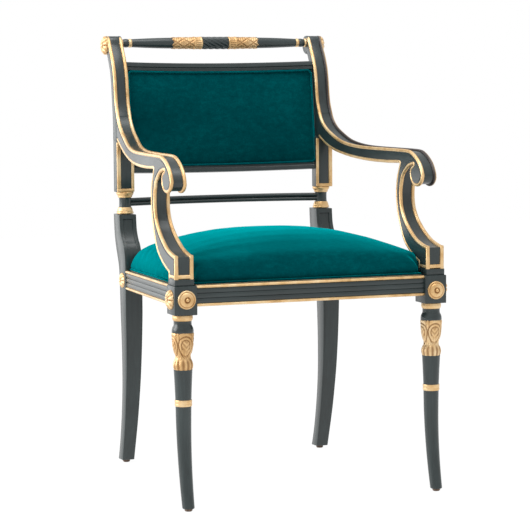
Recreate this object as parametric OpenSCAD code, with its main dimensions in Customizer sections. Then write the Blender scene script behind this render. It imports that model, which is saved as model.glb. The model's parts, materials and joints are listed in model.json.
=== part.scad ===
/* [Plan] */
// Distance between the centres of the front legs
front_spread = 502.8; // [460:1:560]
// How far a rear leg stands inside the front leg of its side, centre to centre
rear_in = 35; // [15:0.5:50]
// How far an upper post's centre stands outside the rear leg's centre
post_out = 2.1; // [0:0.1:6]
// Front face of the front legs to the front face of the rear legs at the seat
seat_depth = 446; // [420:1:480]
// How far an upper post's front face stands behind the rear leg's at the seat
post_back = 41; // [30:0.5:50]

/* [Front legs] */
// Side of the square block at the seat
block_w = 44; // [40:0.5:48]
// Height of the block's underside above the floor
block_z = 363; // [350:1:376]
// Height of the square block at the seat
block_h = 54; // [48:0.5:62]
// Radius of the gilt ring under the block
leg_ring_r = 19.5; // [18:0.5:21]
// Radius of the shaft just under the carved vase
shaft_r = 17.25; // [15:0.25:18.5]
// Radius of the leg at the foot
foot_r = 11.5; // [10:0.25:14]
// How far the foot curves forward
foot_kick = 24; // [10:1:34]

/* [Rear legs] */
// Width of the rear leg at the seat
rear_leg_w = 36; // [32:0.5:40]
// Width of the rear leg at the foot
rear_foot_w = 25; // [20:0.5:32]
// Depth of the rear leg at the seat
rear_leg_d = 41; // [36:1:44]
// Depth of the rear leg at the foot
rear_foot_d = 30; // [25:1:35]
// How far the rear foot stands behind the leg at the seat
rear_kick = 55; // [35:1:70]
// How far the rear block's top stands over the front block's
rear_rise = 100; // [88:1:110]
// Width of the upper post
post_w = 37; // [34:0.5:38]
// Depth of the upper post
post_d = 26.5; // [24:0.5:30]
// Height of the turned neck between block and post
neck_h = 46; // [40:0.5:52]
// Radius of the turned neck between block and post
neck_r = 12.5; // [10:0.5:14]

/* [Arms] */
// Height of the top of the arms above the underside of the upper post
arm_rise = 91; // [80:0.5:104]
// Width of the arms and of the uprights
arm_w = 32; // [30:0.5:34]
// How far the arm's centre at the front stands outside the leg's centre
arm_out = 1.1; // [0:0.1:3]
// Depth of the arm
arm_t = 29.5; // [26:0.5:34]
// Width of each raised edge bead
bead_w = 6.5; // [5:0.25:8]
// Depth of the channel between the beads
channel_d = 4; // [2:0.5:6]
// Radius of the front scroll
scroll_r = 29; // [26:0.5:32]
// Centre of the front scroll behind the front legs' front face
scroll_y = 61; // [55:1:68]
// Centre of the front scroll below the top of the arm
scroll_drop = 47; // [44:0.5:50]
// Width of the arm support under the arm
support_w = 33; // [30:0.5:35]
// Width of the arm support's base block
base_w = 37.5; // [34:0.5:40]
// Height of the plinth at the foot of the arm support
plinth_h = 12; // [8:0.5:14]
// Width of the bar across the foot of the base block's panel
base_bar = 8.5; // [6:0.5:10]

/* [Top scrolls] */
// Height of the centre of the top scrolls above the top of the arms
crook_rise = 208; // [190:1:225]
// Centre of the top scrolls behind the front face of the upper posts
crook_back = 73; // [65:1:82]
// Radius of the top scrolls
crook_r = 19.5; // [18:0.5:21]

/* [Seat rails] */
// Height of the rails
rail_h = 39; // [36:0.5:44]
// Thickness of the rails
rail_t = 26; // [24:0.5:30]
// Height of the beads along the rails
rail_bead_h = 5.4; // [4:0.2:7]
// Number of reeds between the beads
rail_reeds = 3; // [2:1:4]
// Depth to which the front rail stands behind the blocks' front faces
rail_set = 5; // [2:0.5:8]
// Fall of the side rails from front to back
seat_fall = 11; // [0:1:16]
// Width of the lip left outside the seat rebate
lip_w = 8; // [6:0.5:10]
// Depth of the seat rebate
rebate_d = 12; // [10:0.5:15]

/* [Seat] */
// Height of the pad's crown above its edge
seat_crown = 59; // [35:1:70]
// Height of the pad's rounded edge
seat_edge_h = 26; // [16:1:30]
// Thickness of the drop-in seat frame
seat_frame_t = 11.5; // [9:0.5:12]
// Width of the members of the drop-in seat frame
seat_frame_w = 48; // [38:1:60]
// Width of one webbing strap
web_w = 45; // [35:1:50]
// Thickness of the webbing
web_t = 1.6; // [1:0.1:2.5]

/* [Back] */
// Height of the underside of the back frame above the underside of the upper post
back_lift = 39; // [30:0.5:48]
// How far the top of the back frame lies under the crest rail's axis
back_drop = 38.7; // [32:0.1:60]
// Rake of the back frame in degrees
back_rake = 7; // [3:0.5:9]
// How far the back bows behind the line of the posts
back_bow = 28; // [15:1:40]
// Distance of the back frame behind the posts' front faces
back_set = 5; // [2:0.5:8]
// Thickness of the back frame
back_t = 20; // [17:0.5:24]
// Height of the back's top rail
top_rail_h = 17; // [14:0.5:20]
// Height of the back's bottom rail
bottom_rail_h = 14; // [12:0.5:17]
// Width of the back's stiles
stile_w = 10; // [7:0.5:14]
// Thickness of the board that carries the back pad
back_board_t = 6; // [4:0.5:8]
// How far the back pad swells in front of its edge
back_crown = 9; // [4:0.5:12]
// Thickness of the fabric panel that closes the rear of the back
rear_cover_t = 2.5; // [1.5:0.5:4]

/* [Stretcher and crest] */
// How far the middle of the back stretcher lies under the underside of the upper post
stretcher_drop = 21.5; // [18:0.5:26]
// Height of the back stretcher
stretcher_h = 16.5; // [14:0.5:18]
// Thickness of the back stretcher
stretcher_t = 13; // [11:0.5:15]
// Largest radius of the turned crest rail
crest_r = 13; // [11:0.5:15]
// Radius of the crest rail beside its end rings
crest_end_r = 7.75; // [6.5:0.25:9]
// Height of the crest rail's axis above the top scrolls' centres
crest_lift = 4.5; // [0:0.5:6]

/* [Rosettes and glides] */
// Radius of the rosettes on the front blocks
rosette_r = 18.2; // [16:0.2:20]
// Radius of the rosettes on the sides of the rear legs
rear_rosette_r = 15.5; // [13:0.5:17]
// Height of a rosette's boss above its seat
rosette_h = 9; // [6:0.5:11]
// Radius of the glides
glide_r = 7.5; // [6:0.5:9]
// Height of the glides
glide_h = 5; // [4:0.5:7]

/* [Joints and fasteners] */
// Radius of the dowels in the seat rails
dowel_r = 4.75; // [4:0.25:5.5]
// Depth that a rail's dowel goes into each piece
dowel_bite = 16; // [12:1:17]
// The same for the dowels of the supports, of the arms' rear ends and of the back
short_bite = 12; // [8:0.5:13]
// Clearance round a dowel, spigot or screw
fit_gap = 0.15; // [0.1:0.05:0.3]
// Space between a soft piece and its neighbour
soft_gap = 0.3; // [0.3:0.05:0.6]
// Radius of the screws
screw_r = 2.2; // [1.8:0.1:2.6]
// Radius of the screw heads
screw_head_r = 4.2; // [3.6:0.2:5]

/* [Hidden] */
$fn = 48;

EBONY = [0.22, 0.24, 0.25];
GILT = [0.85, 0.68, 0.42];
VELVET = [0.0, 0.42, 0.43];
BEECH = [0.72, 0.55, 0.36];
JUTE = [0.62, 0.52, 0.38];
STEEL = [0.6, 0.6, 0.62];
CAMBRIC = [0.12, 0.12, 0.13];

// One overrun for all cuts
cut = 1;
// Steps between two control points of a curve
curve_steps = 5;
front_x = front_spread / 2;
rear_x = front_x - rear_in;
post_x = rear_x + post_out;
post_y = seat_depth + post_back;
// Heights over the floor, each built on the one under it
block_top_z = block_z + block_h;
rear_block_top_z = block_top_z + rear_rise;
post_z = rear_block_top_z + neck_h;
arm_h = post_z + arm_rise;
crook_z = arm_h + crook_rise;
back_z = post_z + back_lift;
stretcher_z = post_z - stretcher_drop;
crest_axis_z = crook_z + crest_lift;
back_h = (crest_axis_z - back_drop - back_z) / cos(back_rake);
// The outer faces of post and upright are one face
post_out_x = post_x + post_w / 2;
upright_x = post_out_x - arm_w / 2;
arm_x = front_x + arm_out;
leg_y = block_w / 2;
// The chair runs from the curled front feet to the back of the top scrolls
front_reach = foot_kick - leg_y + foot_r;
crook_y = post_y + crook_back;
mid_y = (crook_y + crook_r - front_reach) / 2;

// A point between b and c on a smooth curve through a, b, c and d
function on_curve(a, b, c, d, t) =
    (2 * b + (c - a) * t + (2 * a - 5 * b + 4 * c - d) * t * t + (3 * b - a - 3 * c + d) * t * t * t) / 2;
function smooth(p, steps) = [
    for (i = [0:len(p) - 2], k = [0:steps - 1])
        on_curve(p[max(i - 1, 0)], p[i], p[i + 1], p[min(i + 2, len(p) - 1)], k / steps),
    p[len(p) - 1]
];
// The unit normal to the left of a path at each of its points
function normals(p) = [
    for (i = [0:len(p) - 1])
        let (d = p[min(i + 1, len(p) - 1)] - p[max(i - 1, 0)])
        [-d[1], d[0]] / norm(d)
];
function shifted(p, by) = let (n = normals(p)) [for (i = [0:len(p) - 1]) p[i] + by * n[i]];
function reversed(p) = [for (i = [len(p) - 1:-1:0]) p[i]];
function part_of(p, from, to) = [for (i = [from:to]) p[i]];
// A rounded bump from z0 to z1 that stands proud of a face
function bump(z0, z1, face, proud) = [
    for (a = [0:30:180]) [face - proud * sin(a), z0 + (z1 - z0) * (1 - cos(a)) / 2]
];

module chair() translate([0, -mid_y, 0]) children();
// Draws the right-hand piece, or its mirror image on the left
module hand(side) {
    if (side > 0) chair() children();
    else chair() mirror([1, 0, 0]) children();
}
// A side profile in Y and Z made a slab that runs along X
module slab(points, x0, x1) translate([x0, 0, 0]) rotate([90, 0, 90]) linear_extrude(x1 - x0) polygon(points);
// A front profile in X and Z made a slab that runs along Y
module front_slab(points, y0, y1)
    translate([0, y1, 0]) rotate([90, 0, 0]) linear_extrude(y1 - y0) polygon(points);
module rod_x(r, x0, x1, y, z) translate([x0, y, z]) rotate([0, 90, 0]) cylinder(h = x1 - x0, r = r);
module rod_y(r, y0, y1, x, z) translate([x, y0, z]) rotate([-90, 0, 0]) cylinder(h = y1 - y0, r = r);
module rod_z(r, z0, z1, x, y) translate([x, y, z0]) cylinder(h = z1 - z0, r = r);

// Front scroll, arm and upright share one crest line, seen from the side.
// Points round the front scroll, as shares of its radius from its centre.
scroll_shares = [
    [0.48, 0.655], [0.83, 0.48], [1.02, 0.17], [0.966, -0.2], [0.69, -0.57], [0.276, -0.76], [-0.2, -0.776],
    [-0.62, -0.64], [-0.9, -0.38], [-1, -0.03], [-0.86, 0.33], [-0.55, 0.74], [-0.03, 1.13], [0.655, 1.45]
];
// Points along the arm, as shares of the post's distance and of the rise to the top scrolls
arm_shares = [
    [0.22, 0], [0.41, 0.002], [0.6, 0.005], [0.708, 0.019], [0.8, 0.053], [0.873, 0.111],
    [0.934, 0.175], [0.977, 0.253], [1, 0.34]
];
// Points up the upright, as shares of the top scrolls' set-back and of the same rise
upright_shares = [
    [0.105, 0.42], [0.16, 0.5], [0.195, 0.585], [0.235, 0.67], [0.295, 0.755], [0.385, 0.83], [0.485, 0.895],
    [0.6, 0.955]
];
// Points down the back of the upright, behind the post's back face
upright_back_shares = [
    [0.8, 0.908], [0.68, 0.868], [0.54, 0.815], [0.4, 0.755], [0.29, 0.69], [0.22, 0.62], [0.17, 0.54],
    [0.115, 0.45], [0.06, 0.36], [0.02, 0.266], [0, 0.169]
];
// Points along the underside of the arm
under_shares = [
    [0.4, 0], [0.513, 0.001], [0.616, 0.01], [0.719, 0.03], [0.821, 0.065], [0.883, 0.099], [0.9425, 0.147],
    [1, 0.21]
];
rise = crook_z - arm_h;
scroll_z = arm_h - scroll_drop;
scroll_points = [for (s = scroll_shares) [scroll_y + s[0] * scroll_r, scroll_z + s[1] * scroll_r]];
arm_points = [for (s = arm_shares) [s[0] * post_y, arm_h + s[1] * rise]];
upright_points = [for (s = upright_shares) [post_y + s[0] * crook_back, arm_h + s[1] * rise]];
crook_points = [for (a = [148:-15:-112]) [crook_y + crook_r * cos(a), crook_z + crook_r * sin(a)]];
crest_line = smooth(concat(scroll_points, arm_points, upright_points, crook_points), curve_steps);
// The arm ends on the post's front face, where the crest line crosses it
arm_split = (len(scroll_points) + len(arm_points) - 1) * curve_steps;
arm_crest = part_of(crest_line, 0, arm_split);
upright_crest = part_of(crest_line, arm_split, len(crest_line) - 1);
upright_back = smooth([
    for (s = upright_back_shares) [post_y + post_d + s[0] * (crook_back - post_d), arm_h + s[1] * rise]
], curve_steps);
arm_under = smooth([for (s = under_shares) [s[0] * post_y, arm_h - arm_t + s[1] * rise]], curve_steps);

// The arm support's two edges, as shares of its reach and its height over the block
support_front_shares = [
    [0, 1], [0.307, 0.974], [0.547, 0.923], [0.68, 0.876], [0.787, 0.77], [0.8, 0.675], [0.727, 0.579],
    [0.547, 0.493], [0.307, 0.426], [0.053, 0.371], [-0.28, 0.316], [-0.653, 0.282], [-0.939, 0.266]
];
support_rear_shares = [
    [0.867, 1], [0.95, 0.94], [1.02, 0.876], [1.08, 0.756], [1.067, 0.636], [0.987, 0.531],
    [0.853, 0.435], [0.68, 0.34], [0.467, 0.258], [0.2, 0.196], [-0.12, 0.141], [-0.413, 0.105]
];
// Which control point of both edges lies on the joint between arm and support
joint_front = 3;
joint_rear = 2;
support_z = block_top_z;
tip = scroll_points[0];
support_h = tip[1] - support_z;
support_reach = 75;
function support_points(shares) = [
    for (s = shares) [tip[0] + s[0] * support_reach, support_z + s[1] * support_h]
];
support_front = smooth(support_points(support_front_shares), curve_steps);
support_rear = smooth(support_points(support_rear_shares), curve_steps);
joint_z = support_z + support_front_shares[joint_front][1] * support_h;
base_front_y = support_front[len(support_front) - 1][0];
base_rear_y = support_rear[len(support_rear) - 1][0];
joint_y = (support_front[joint_front * curve_steps][0] + support_rear[joint_rear * curve_steps][0]) / 2;
arm_outline = concat(
    arm_crest,
    reversed(arm_under),
    part_of(support_rear, 0, joint_rear * curve_steps),
    reversed(part_of(support_front, 1, joint_front * curve_steps))
);
support_outline = concat(
    part_of(support_front, joint_front * curve_steps, len(support_front) - 1),
    [[base_front_y, support_z], [base_rear_y, support_z]],
    reversed(part_of(support_rear, joint_rear * curve_steps, len(support_rear) - 1))
);

// In plan the arm runs straight back, then bends inwards to the post
bend_shares = [
    [0, 0], [0.155, 0], [0.31, 0], [0.45, 0.12], [0.59, 0.32], [0.733, 0.59], [0.866, 0.85], [1, 1], [1.15, 1],
    [1.3, 1]
];
arm_bend = arm_x - upright_x;
arm_centre = smooth([for (s = bend_shares) [arm_x - s[1] * arm_bend, s[0] * post_y]], curve_steps);
function band(width) = concat(
    [for (p = arm_centre) p + [width / 2, 0]],
    reversed([for (p = arm_centre) p - [width / 2, 0]])
);
module plan_band(width) linear_extrude(crook_z + crook_r + cut) polygon(band(width));
// The strip along a crest line that the channel takes away
function channel_strip(line) = concat(shifted(line, cut), reversed(shifted(line, -channel_d)));
channel_w = arm_w - 2 * bead_w;
wide_x = arm_x + arm_w;

module arm(side) color(EBONY) hand(side) difference() {
    intersection() {
        slab(arm_outline, 0, wide_x);
        plan_band(arm_w);
    }
    intersection() {
        slab(channel_strip(part_of(arm_crest, 3, len(arm_crest) - 1)), 0, wide_x);
        plan_band(channel_w);
    }
    arm_dowel_shapes(fit_gap);
    arm_rear_dowel_shapes(fit_gap);
}

// Seen from the front the support widens to its base block.
// Points as shares of the widening on each side and of the support's height.
widen_shares = [[0, 1], [0, 0.62], [0.12, 0.52], [0.4, 0.42], [0.78, 0.33], [1, 0.27], [1, 0]];
widen_points = [
    for (s = widen_shares) [support_w / 2 + s[0] * (base_w - support_w) / 2, support_z + s[1] * support_h]
];
support_face = concat(
    [for (p = widen_points) [arm_x + p[0], p[1]]],
    reversed([for (p = widen_points) [arm_x - p[0], p[1]]])
);
// The channel runs down the support, over the edge of the base block and down its front
channel_line = concat(
    part_of(support_front, joint_front * curve_steps, len(support_front) - 1),
    [[base_front_y, support_z + plinth_h + base_bar]]
);
module arm_support(side) color(EBONY) hand(side) difference() {
    intersection() {
        slab(support_outline, 0, wide_x);
        front_slab(support_face, 0, post_y);
    }
    slab(channel_strip(channel_line), arm_x - channel_w / 2, arm_x + channel_w / 2);
    arm_dowel_shapes(fit_gap);
    support_dowel_shapes(fit_gap);
}

// Dowels between arm and support, support and leg, arm and post.
// The wood between arm and support is narrow and slants, so its dowel is thin and short.
arm_dowel_r = dowel_r * 0.74;
arm_dowel_bite = short_bite * 0.9;
arm_dowel_y = joint_y + 1.8;
module arm_dowel_shapes(gap = 0)
    rod_z(arm_dowel_r + gap, joint_z - arm_dowel_bite - gap, joint_z + arm_dowel_bite + gap, arm_x, arm_dowel_y);
support_dowel_x = (arm_x + front_x) / 2;
support_dowel_y = (base_front_y + base_rear_y) / 2;
module support_dowel_shapes(gap = 0) {
    bite = short_bite + gap;
    rod_z(dowel_r + gap, support_z - bite, support_z + bite, support_dowel_x, support_dowel_y);
}
// Heights of the two dowels at the rear end of an arm, as shares of the joint's height
arm_rear_shares = [0.2, 0.42];
arm_rear_low_z = arm_under[len(arm_under) - 1][1];
arm_rear_h = arm_points[len(arm_points) - 1][1] - arm_rear_low_z;
module arm_rear_dowel_shapes(gap = 0) for (s = arm_rear_shares) {
    bite = short_bite + gap;
    rod_y(dowel_r + gap, post_y - bite, post_y + bite, upright_x, arm_rear_low_z + s * arm_rear_h);
}

// Half of the front leg's turned outline, as height shares of the block and radius shares of the ring
turned_shares = [
    [0.998, 0.92], [0.99, 1], [0.97, 1], [0.962, 0.9], [0.957, 0.82], [0.948, 0.8], [0.935, 0.86], [0.92, 1],
    [0.908, 1.06],
    [0.899, 1.09], [0.885, 1.09], [0.87, 1.06], [0.845, 0.99], [0.822, 0.89], [0.8, 0.76], [0.787, 0.72],
    [0.776, 0.79], [0.762, 0.93], [0.745, 1.03], [0.735, 1.03], [0.724, 0.98], [0.718, 0.95]
];
// The gilt band low on the leg, as height shares of the block
leg_band_shares = [0.53, 0.567];
// Height share at which the curved part of the leg starts
curl_share = 0.48;
curl_z = curl_share * block_z;
low_shaft_r = (shaft_r + foot_r) / 2;
// Radius of the lower leg at a height, and how far the leg has curved forward there
function low_r(z) = foot_r + (low_shaft_r - foot_r) * z / curl_z;
function kick(z) = foot_kick * pow((curl_z - z) / (curl_z - glide_h), 2);
leg_sides = 24;
leg_rings = 14;

// The curled shaft starts a little inside the turned shaft over it
shaft_inset = 0.3;
module curled_shaft() {
    points = concat(
        [for (i = [0:leg_rings - 1], k = [0:leg_sides - 1])
            let (z = glide_h + (curl_z - glide_h) * i / (leg_rings - 1), a = 360 * k / leg_sides)
            let (r = low_r(z) - shaft_inset)
            [front_x + r * cos(a), leg_y - kick(z) + r * sin(a), z]],
        [for (k = [0:leg_sides - 1]) let (a = 360 * k / leg_sides, r = foot_r / 2)
            [front_x + r * cos(a), leg_y + r * sin(a), curl_z + foot_r / 2]]
    );
    faces = concat(
        [for (i = [0:leg_rings - 1], k = [0:leg_sides - 1])
            let (a = i * leg_sides + k, b = i * leg_sides + (k + 1) % leg_sides)
            each [[a, a + leg_sides, b], [b, a + leg_sides, b + leg_sides]]],
        [for (k = [1:leg_sides - 2]) [0, k, k + 1]],
        [for (k = [1:leg_sides - 2]) let (top = leg_rings * leg_sides) [top, top + k + 1, top + k]]
    );
    polyhedron(points, faces);
}

band_z0 = leg_band_shares[0] * block_z;
band_z1 = leg_band_shares[1] * block_z;
shaft_top_z = turned_shares[len(turned_shares) - 1][0] * block_z;
module front_leg(side) color(EBONY) hand(side) difference() {
    union() {
        translate([front_x - block_w / 2, 0, block_z]) cube([block_w, block_w, block_top_z - block_z]);
        translate([front_x, leg_y, 0]) rotate_extrude() polygon(concat(
            [[0, curl_z], [low_r(curl_z), curl_z], [shaft_r * 0.87, band_z0]],
            bump_out(band_z0, band_z1, shaft_r * 0.87, shaft_r * 0.08),
            [[shaft_r * 0.88, band_z1], [shaft_r, shaft_top_z]],
            reversed([for (s = turned_shares) [s[1] * leg_ring_r, s[0] * block_z]]),
            [[leg_ring_r * turned_shares[0][1], block_z], [0, block_z]]
        ));
        curled_shaft();
    }
    support_dowel_shapes(fit_gap);
    seat_dowel_shapes(fit_gap);
    glide_shape(front_x, leg_y - foot_kick, fit_gap);
}
function bump_out(z0, z1, face, proud) = [for (p = bump(z0, z1, 0, proud)) [face - p[0], p[1]]];

// The rear leg seen from the side: a block over the seat, then a leg that sweeps back to the foot.
// Front and back edges, as set-back shares of the kick and height shares of the block's top.
rear_front_shares = [
    [0.69, 1], [0.655, 0.965], [0.59, 0.935], [0.42, 0.905], [0.23, 0.885], [0.1, 0.86], [0.02, 0.82],
    [0, 0.77], [0, 0.66], [0.01, 0.58],
    [0.045, 0.5], [0.1, 0.43], [0.19, 0.35], [0.34, 0.265], [0.52, 0.18], [0.77, 0.09], [1, 0.012]
];
rear_back_shares = [
    [0.69, 1], [0.655, 0.955], [0.57, 0.905], [0.42, 0.865], [0.25, 0.83], [0.1, 0.795], [0.03, 0.75],
    [0, 0.69], [-0.02, 0.6], [-0.01, 0.5],
    [0.03, 0.42], [0.1, 0.34], [0.23, 0.26], [0.43, 0.175], [0.7, 0.085], [1, 0.009]
];
function rear_depth(share) = rear_foot_d + (rear_leg_d - rear_foot_d) * min(share / 0.7, 1);
rear_leg_outline = concat(
    smooth([for (s = rear_front_shares) [seat_depth + s[0] * rear_kick, s[1] * rear_block_top_z]], curve_steps),
    reversed(smooth([
        for (s = rear_back_shares) [seat_depth + s[0] * rear_kick + rear_depth(s[1]), s[1] * rear_block_top_z]
    ], curve_steps))
);
rear_foot_z = rear_back_shares[len(rear_back_shares) - 1][1] * rear_block_top_z;
rear_foot_y = seat_depth + rear_kick + rear_foot_d / 2;
// Height share over which the rear leg narrows to its foot
taper_share = 0.62;
rear_front_outline = [
    [rear_x - rear_leg_w / 2, rear_block_top_z], [rear_x + rear_leg_w / 2, rear_block_top_z],
    [rear_x + rear_leg_w / 2, taper_share * rear_block_top_z], [rear_x + rear_foot_w / 2, 0],
    [rear_x - rear_foot_w / 2, 0], [rear_x - rear_leg_w / 2, taper_share * rear_block_top_z]
];
neck_y = post_y + post_d / 2 + crook_r / 8;
// The neck's outline, as height shares between block and post and radius shares of the neck
neck_shares = [
    [0, 1.36], [0.07, 1.42], [0.16, 1.42], [0.22, 1.3], [0.28, 1.14], [0.33, 1.02], [0.4, 1], [0.72, 1],
    [0.76, 1.12], [0.8, 1.34], [0.86, 1.44], [0.93, 1.44], [0.98, 1.36], [1, 1.2]
];
post_band_h = 6.5;
post_outline = concat(
    [[post_y, post_z + post_band_h / 2], [post_y, arm_crest[len(arm_crest) - 1][1]]],
    part_of(upright_crest, 1, len(upright_crest) - 1),
    upright_back,
    [[post_y + post_d, post_z + post_band_h / 2]]
);
// Where the upright narrows to the arm's width, over the arm's underside
narrow_z = arm_under[len(arm_under) - 1][1];

module rear_post(side) color(EBONY) hand(side) difference() {
    union() {
        intersection() {
            slab(rear_leg_outline, rear_x - rear_leg_w, rear_x + rear_leg_w);
            front_slab(rear_front_outline, seat_depth - cut, crook_y + crook_r);
        }
        translate([rear_x, neck_y, rear_block_top_z]) rotate_extrude() polygon(concat(
            [[0, 0]],
            [for (s = neck_shares) [s[1] * neck_r, s[0] * neck_h]],
            [[0, neck_h]]
        ));
        difference() {
            slab(post_outline, post_out_x - post_w, post_out_x);
            translate([post_out_x - post_w - cut, post_y - cut, narrow_z])
                cube([post_w - arm_w + cut, crook_back + 2 * crook_r, crook_z]);
        }
        translate([post_out_x - post_w - cut, post_y - cut, post_z])
            cube([post_w + 2 * cut, post_d + 2 * cut, post_band_h]);
    }
    // The channel up the upright
    slab(channel_strip(upright_crest), upright_x - channel_w / 2, upright_x + channel_w / 2);
    // The sunk panel in the front of the post
    translate([post_x - post_w / 2 + bead_w, post_y - cut, post_z + post_band_h])
        cube([post_w - 2 * bead_w, cut + channel_d / 2, narrow_z - post_z - post_band_h - arm_t / 2]);
    arm_rear_dowel_shapes(fit_gap);
    seat_dowel_shapes(fit_gap);
    back_dowel_shapes(fit_gap);
    crest_spigot(fit_gap);
    stretcher_spigot(fit_gap);
    glide_shape(rear_x, rear_foot_y, fit_gap);
}

// Seat rails. The side and rear rails and the seat fall to the back together.
rail_z = block_top_z - rail_h;
fall_angle = atan(seat_fall / (seat_depth - block_w));
module falling() translate([0, block_w, block_top_z]) rotate([-fall_angle, 0, 0])
    translate([0, -block_w, -block_top_z]) children();
reed_h = (rail_h - 2 * rail_bead_h) / rail_reeds;
reed_face = 3;
reed_proud = 2;
// A rail's section: distance inwards from its outer face, and height
rail_section = concat(
    bump(0, rail_bead_h, reed_face, reed_face),
    [for (i = [0:rail_reeds - 1]) let (z = rail_bead_h + i * reed_h)
        each bump(z, z + reed_h, reed_face, reed_proud)],
    bump(rail_h - rail_bead_h, rail_h, reed_face, reed_face),
    [[lip_w, rail_h], [lip_w, rail_h - rebate_d], [rail_t, rail_h - rebate_d], [rail_t, 0]]
);
module rail(section, length)
    rotate([90, 0, 0]) linear_extrude(length) polygon([for (p = section) [-p[0], p[1]]]);
front_out_x = front_x + block_w / 2;
rear_out_x = rear_x + rear_leg_w / 2;
// The side rail's outer face stands this far inside the block's
side_set = 4;
side_run = seat_depth - block_w;
side_angle = atan((front_out_x - side_set - rear_out_x) / side_run);
rear_rail_y = seat_depth + rail_set;
rear_rail_thin = 2;
rear_rail_t = rail_t - rear_rail_thin;

module front_seat_rail() color(EBONY) chair() difference() {
    translate([front_x - block_w / 2, rail_set, rail_z]) rotate([0, 0, -90])
        rail(rail_section, front_spread - block_w);
    seat_dowel_shapes(fit_gap);
    mirror([1, 0, 0]) seat_dowel_shapes(fit_gap);
    for (side = [1, -1]) block_screw_shapes(side, 1, fit_gap);
}

module side_seat_rail(side) color(EBONY) hand(side) difference() {
    falling() translate([front_out_x - side_set, block_w, rail_z]) rotate([0, 0, side_angle])
        translate([0, side_run + block_w, 0]) rail(rail_section, side_run + 2 * block_w);
    translate([0, -block_w, 0]) cube([2 * front_x, 2 * block_w, block_top_z * 2]);
    translate([0, seat_depth, 0]) cube([2 * front_x, 2 * block_w, block_top_z * 2]);
    seat_dowel_shapes(fit_gap);
    block_screw_shapes(1, 1, fit_gap);
    block_screw_shapes(1, -1, fit_gap);
}

module rear_seat_rail() color(EBONY) chair() difference() {
    falling() translate([rear_leg_w / 2 - rear_x, rear_rail_y, rail_z])
        cube([2 * rear_x - rear_leg_w, rear_rail_t, rail_h - rebate_d]);
    seat_dowel_shapes(fit_gap);
    mirror([1, 0, 0]) seat_dowel_shapes(fit_gap);
    for (side = [1, -1]) block_screw_shapes(side, -1, fit_gap);
}

// Two dowels at each end of each rail, on the right-hand side of the chair
dowel_low_z = rail_z + rail_h * 0.28;
dowel_high_z = rail_z + rail_h * 0.54;
rail_mid = lip_w + (rail_t - lip_w) / 2;
side_mid = (reed_face + rail_t) / 2;
front_in_x = front_x - block_w / 2;
rear_in_x = rear_x - rear_leg_w / 2;
module seat_dowel_shapes(gap = 0) for (z = [dowel_low_z, dowel_high_z]) {
    r = dowel_r + gap;
    bite = dowel_bite + gap;
    rod_x(r, front_in_x - bite, front_in_x + bite, rail_set + rail_mid, z);
    rod_x(r, rear_in_x - bite, rear_in_x + bite, rear_rail_y + rear_rail_t / 2, z - seat_fall);
    rod_y(r, block_w - bite, block_w + bite, front_out_x - side_set - side_mid, z);
    rod_y(r, seat_depth - bite, seat_depth + bite, rear_out_x - side_mid, z - seat_fall);
}

// Corner blocks: triangles screwed into the corners of the rails, which carry the seat
corner_leg = 70;
corner_h = 24;
corner_drop = 0.5;
corner_z = block_top_z - rebate_d - corner_drop - corner_h;
// Inner faces of the rails, where the blocks lie
front_in_y = rail_set + rail_t;
rear_in_y = rear_rail_y;
function rail_in_x(y) = front_out_x - side_set - rail_t / cos(side_angle) - (y - block_w) * tan(side_angle);
module front_corner_outline() {
    y0 = front_in_y + corner_drop;
    y1 = y0 + corner_leg;
    polygon([
        [front_in_x - cut - corner_leg, y0], [front_in_x - cut, y0],
        [front_in_x - cut, block_w + cut], [rail_in_x(block_w + cut) - corner_drop, block_w + cut],
        [rail_in_x(y1) - corner_drop, y1]
    ]);
}
module rear_corner_outline() {
    y0 = rear_in_y - corner_drop;
    y1 = y0 - corner_leg;
    polygon([
        [rear_in_x - cut - corner_leg, y0], [rear_in_x - cut, y0], [rear_in_x - cut, seat_depth - cut],
        [rail_in_x(seat_depth - cut) - corner_drop, seat_depth - cut], [rail_in_x(y1) - corner_drop, y1]
    ]);
}
module corner_block_front(side) color(BEECH) hand(side) difference() {
    falling() translate([0, 0, corner_z]) linear_extrude(corner_h) front_corner_outline();
    block_screw_shapes(1, 1, fit_gap);
    seat_screw_shape(1, fit_gap);
}
module corner_block_rear(side) color(BEECH) hand(side) difference() {
    falling() translate([0, 0, corner_z]) linear_extrude(corner_h) rear_corner_outline();
    block_screw_shapes(1, -1, fit_gap);
    seat_screw_shape(-1, fit_gap);
}

// A countersunk screw along +Z from its tip, with its head at the far end
screw_l = 34;
screw_head_h = 3;
module screw(length, gap = 0) {
    translate([0, 0, -gap]) cylinder(h = length + gap, r = screw_r + gap);
    translate([0, 0, length - screw_head_h])
        cylinder(h = screw_head_h + gap, r1 = screw_r + gap, r2 = screw_head_r + gap);
}
module cut_screw(length, gap) {
    screw(length, gap);
    translate([0, 0, length]) cylinder(h = length, r = screw_head_r + gap);
}
// Screws from the corner blocks into the rails, at the front or the rear end
screw_bite = 13;
screw_along = 52;
module block_screw_at(end) {
    y_front = end > 0 ? front_in_y : rear_in_y;
    x_in = (end > 0 ? front_in_x : rear_in_x) - screw_along;
    falling() {
        translate([x_in, y_front - end * screw_bite, corner_z + corner_h / 2])
            rotate([end > 0 ? -90 : 90, 0, 0]) children();
        y_side = end > 0 ? block_w + screw_along : seat_depth - screw_along;
        translate([rail_in_x(y_side) + screw_bite, y_side, corner_z + corner_h / 2])
            rotate([0, -90, side_angle]) children();
    }
}
module block_screw_shapes(side, end, gap = 0) {
    if (side > 0) block_screw_at(end) screw_or_hole(gap);
    else mirror([1, 0, 0]) block_screw_at(end) screw_or_hole(gap);
}
module screw_or_hole(gap) {
    if (gap > 0) cut_screw(screw_l, gap);
    else screw(screw_l);
}
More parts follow.
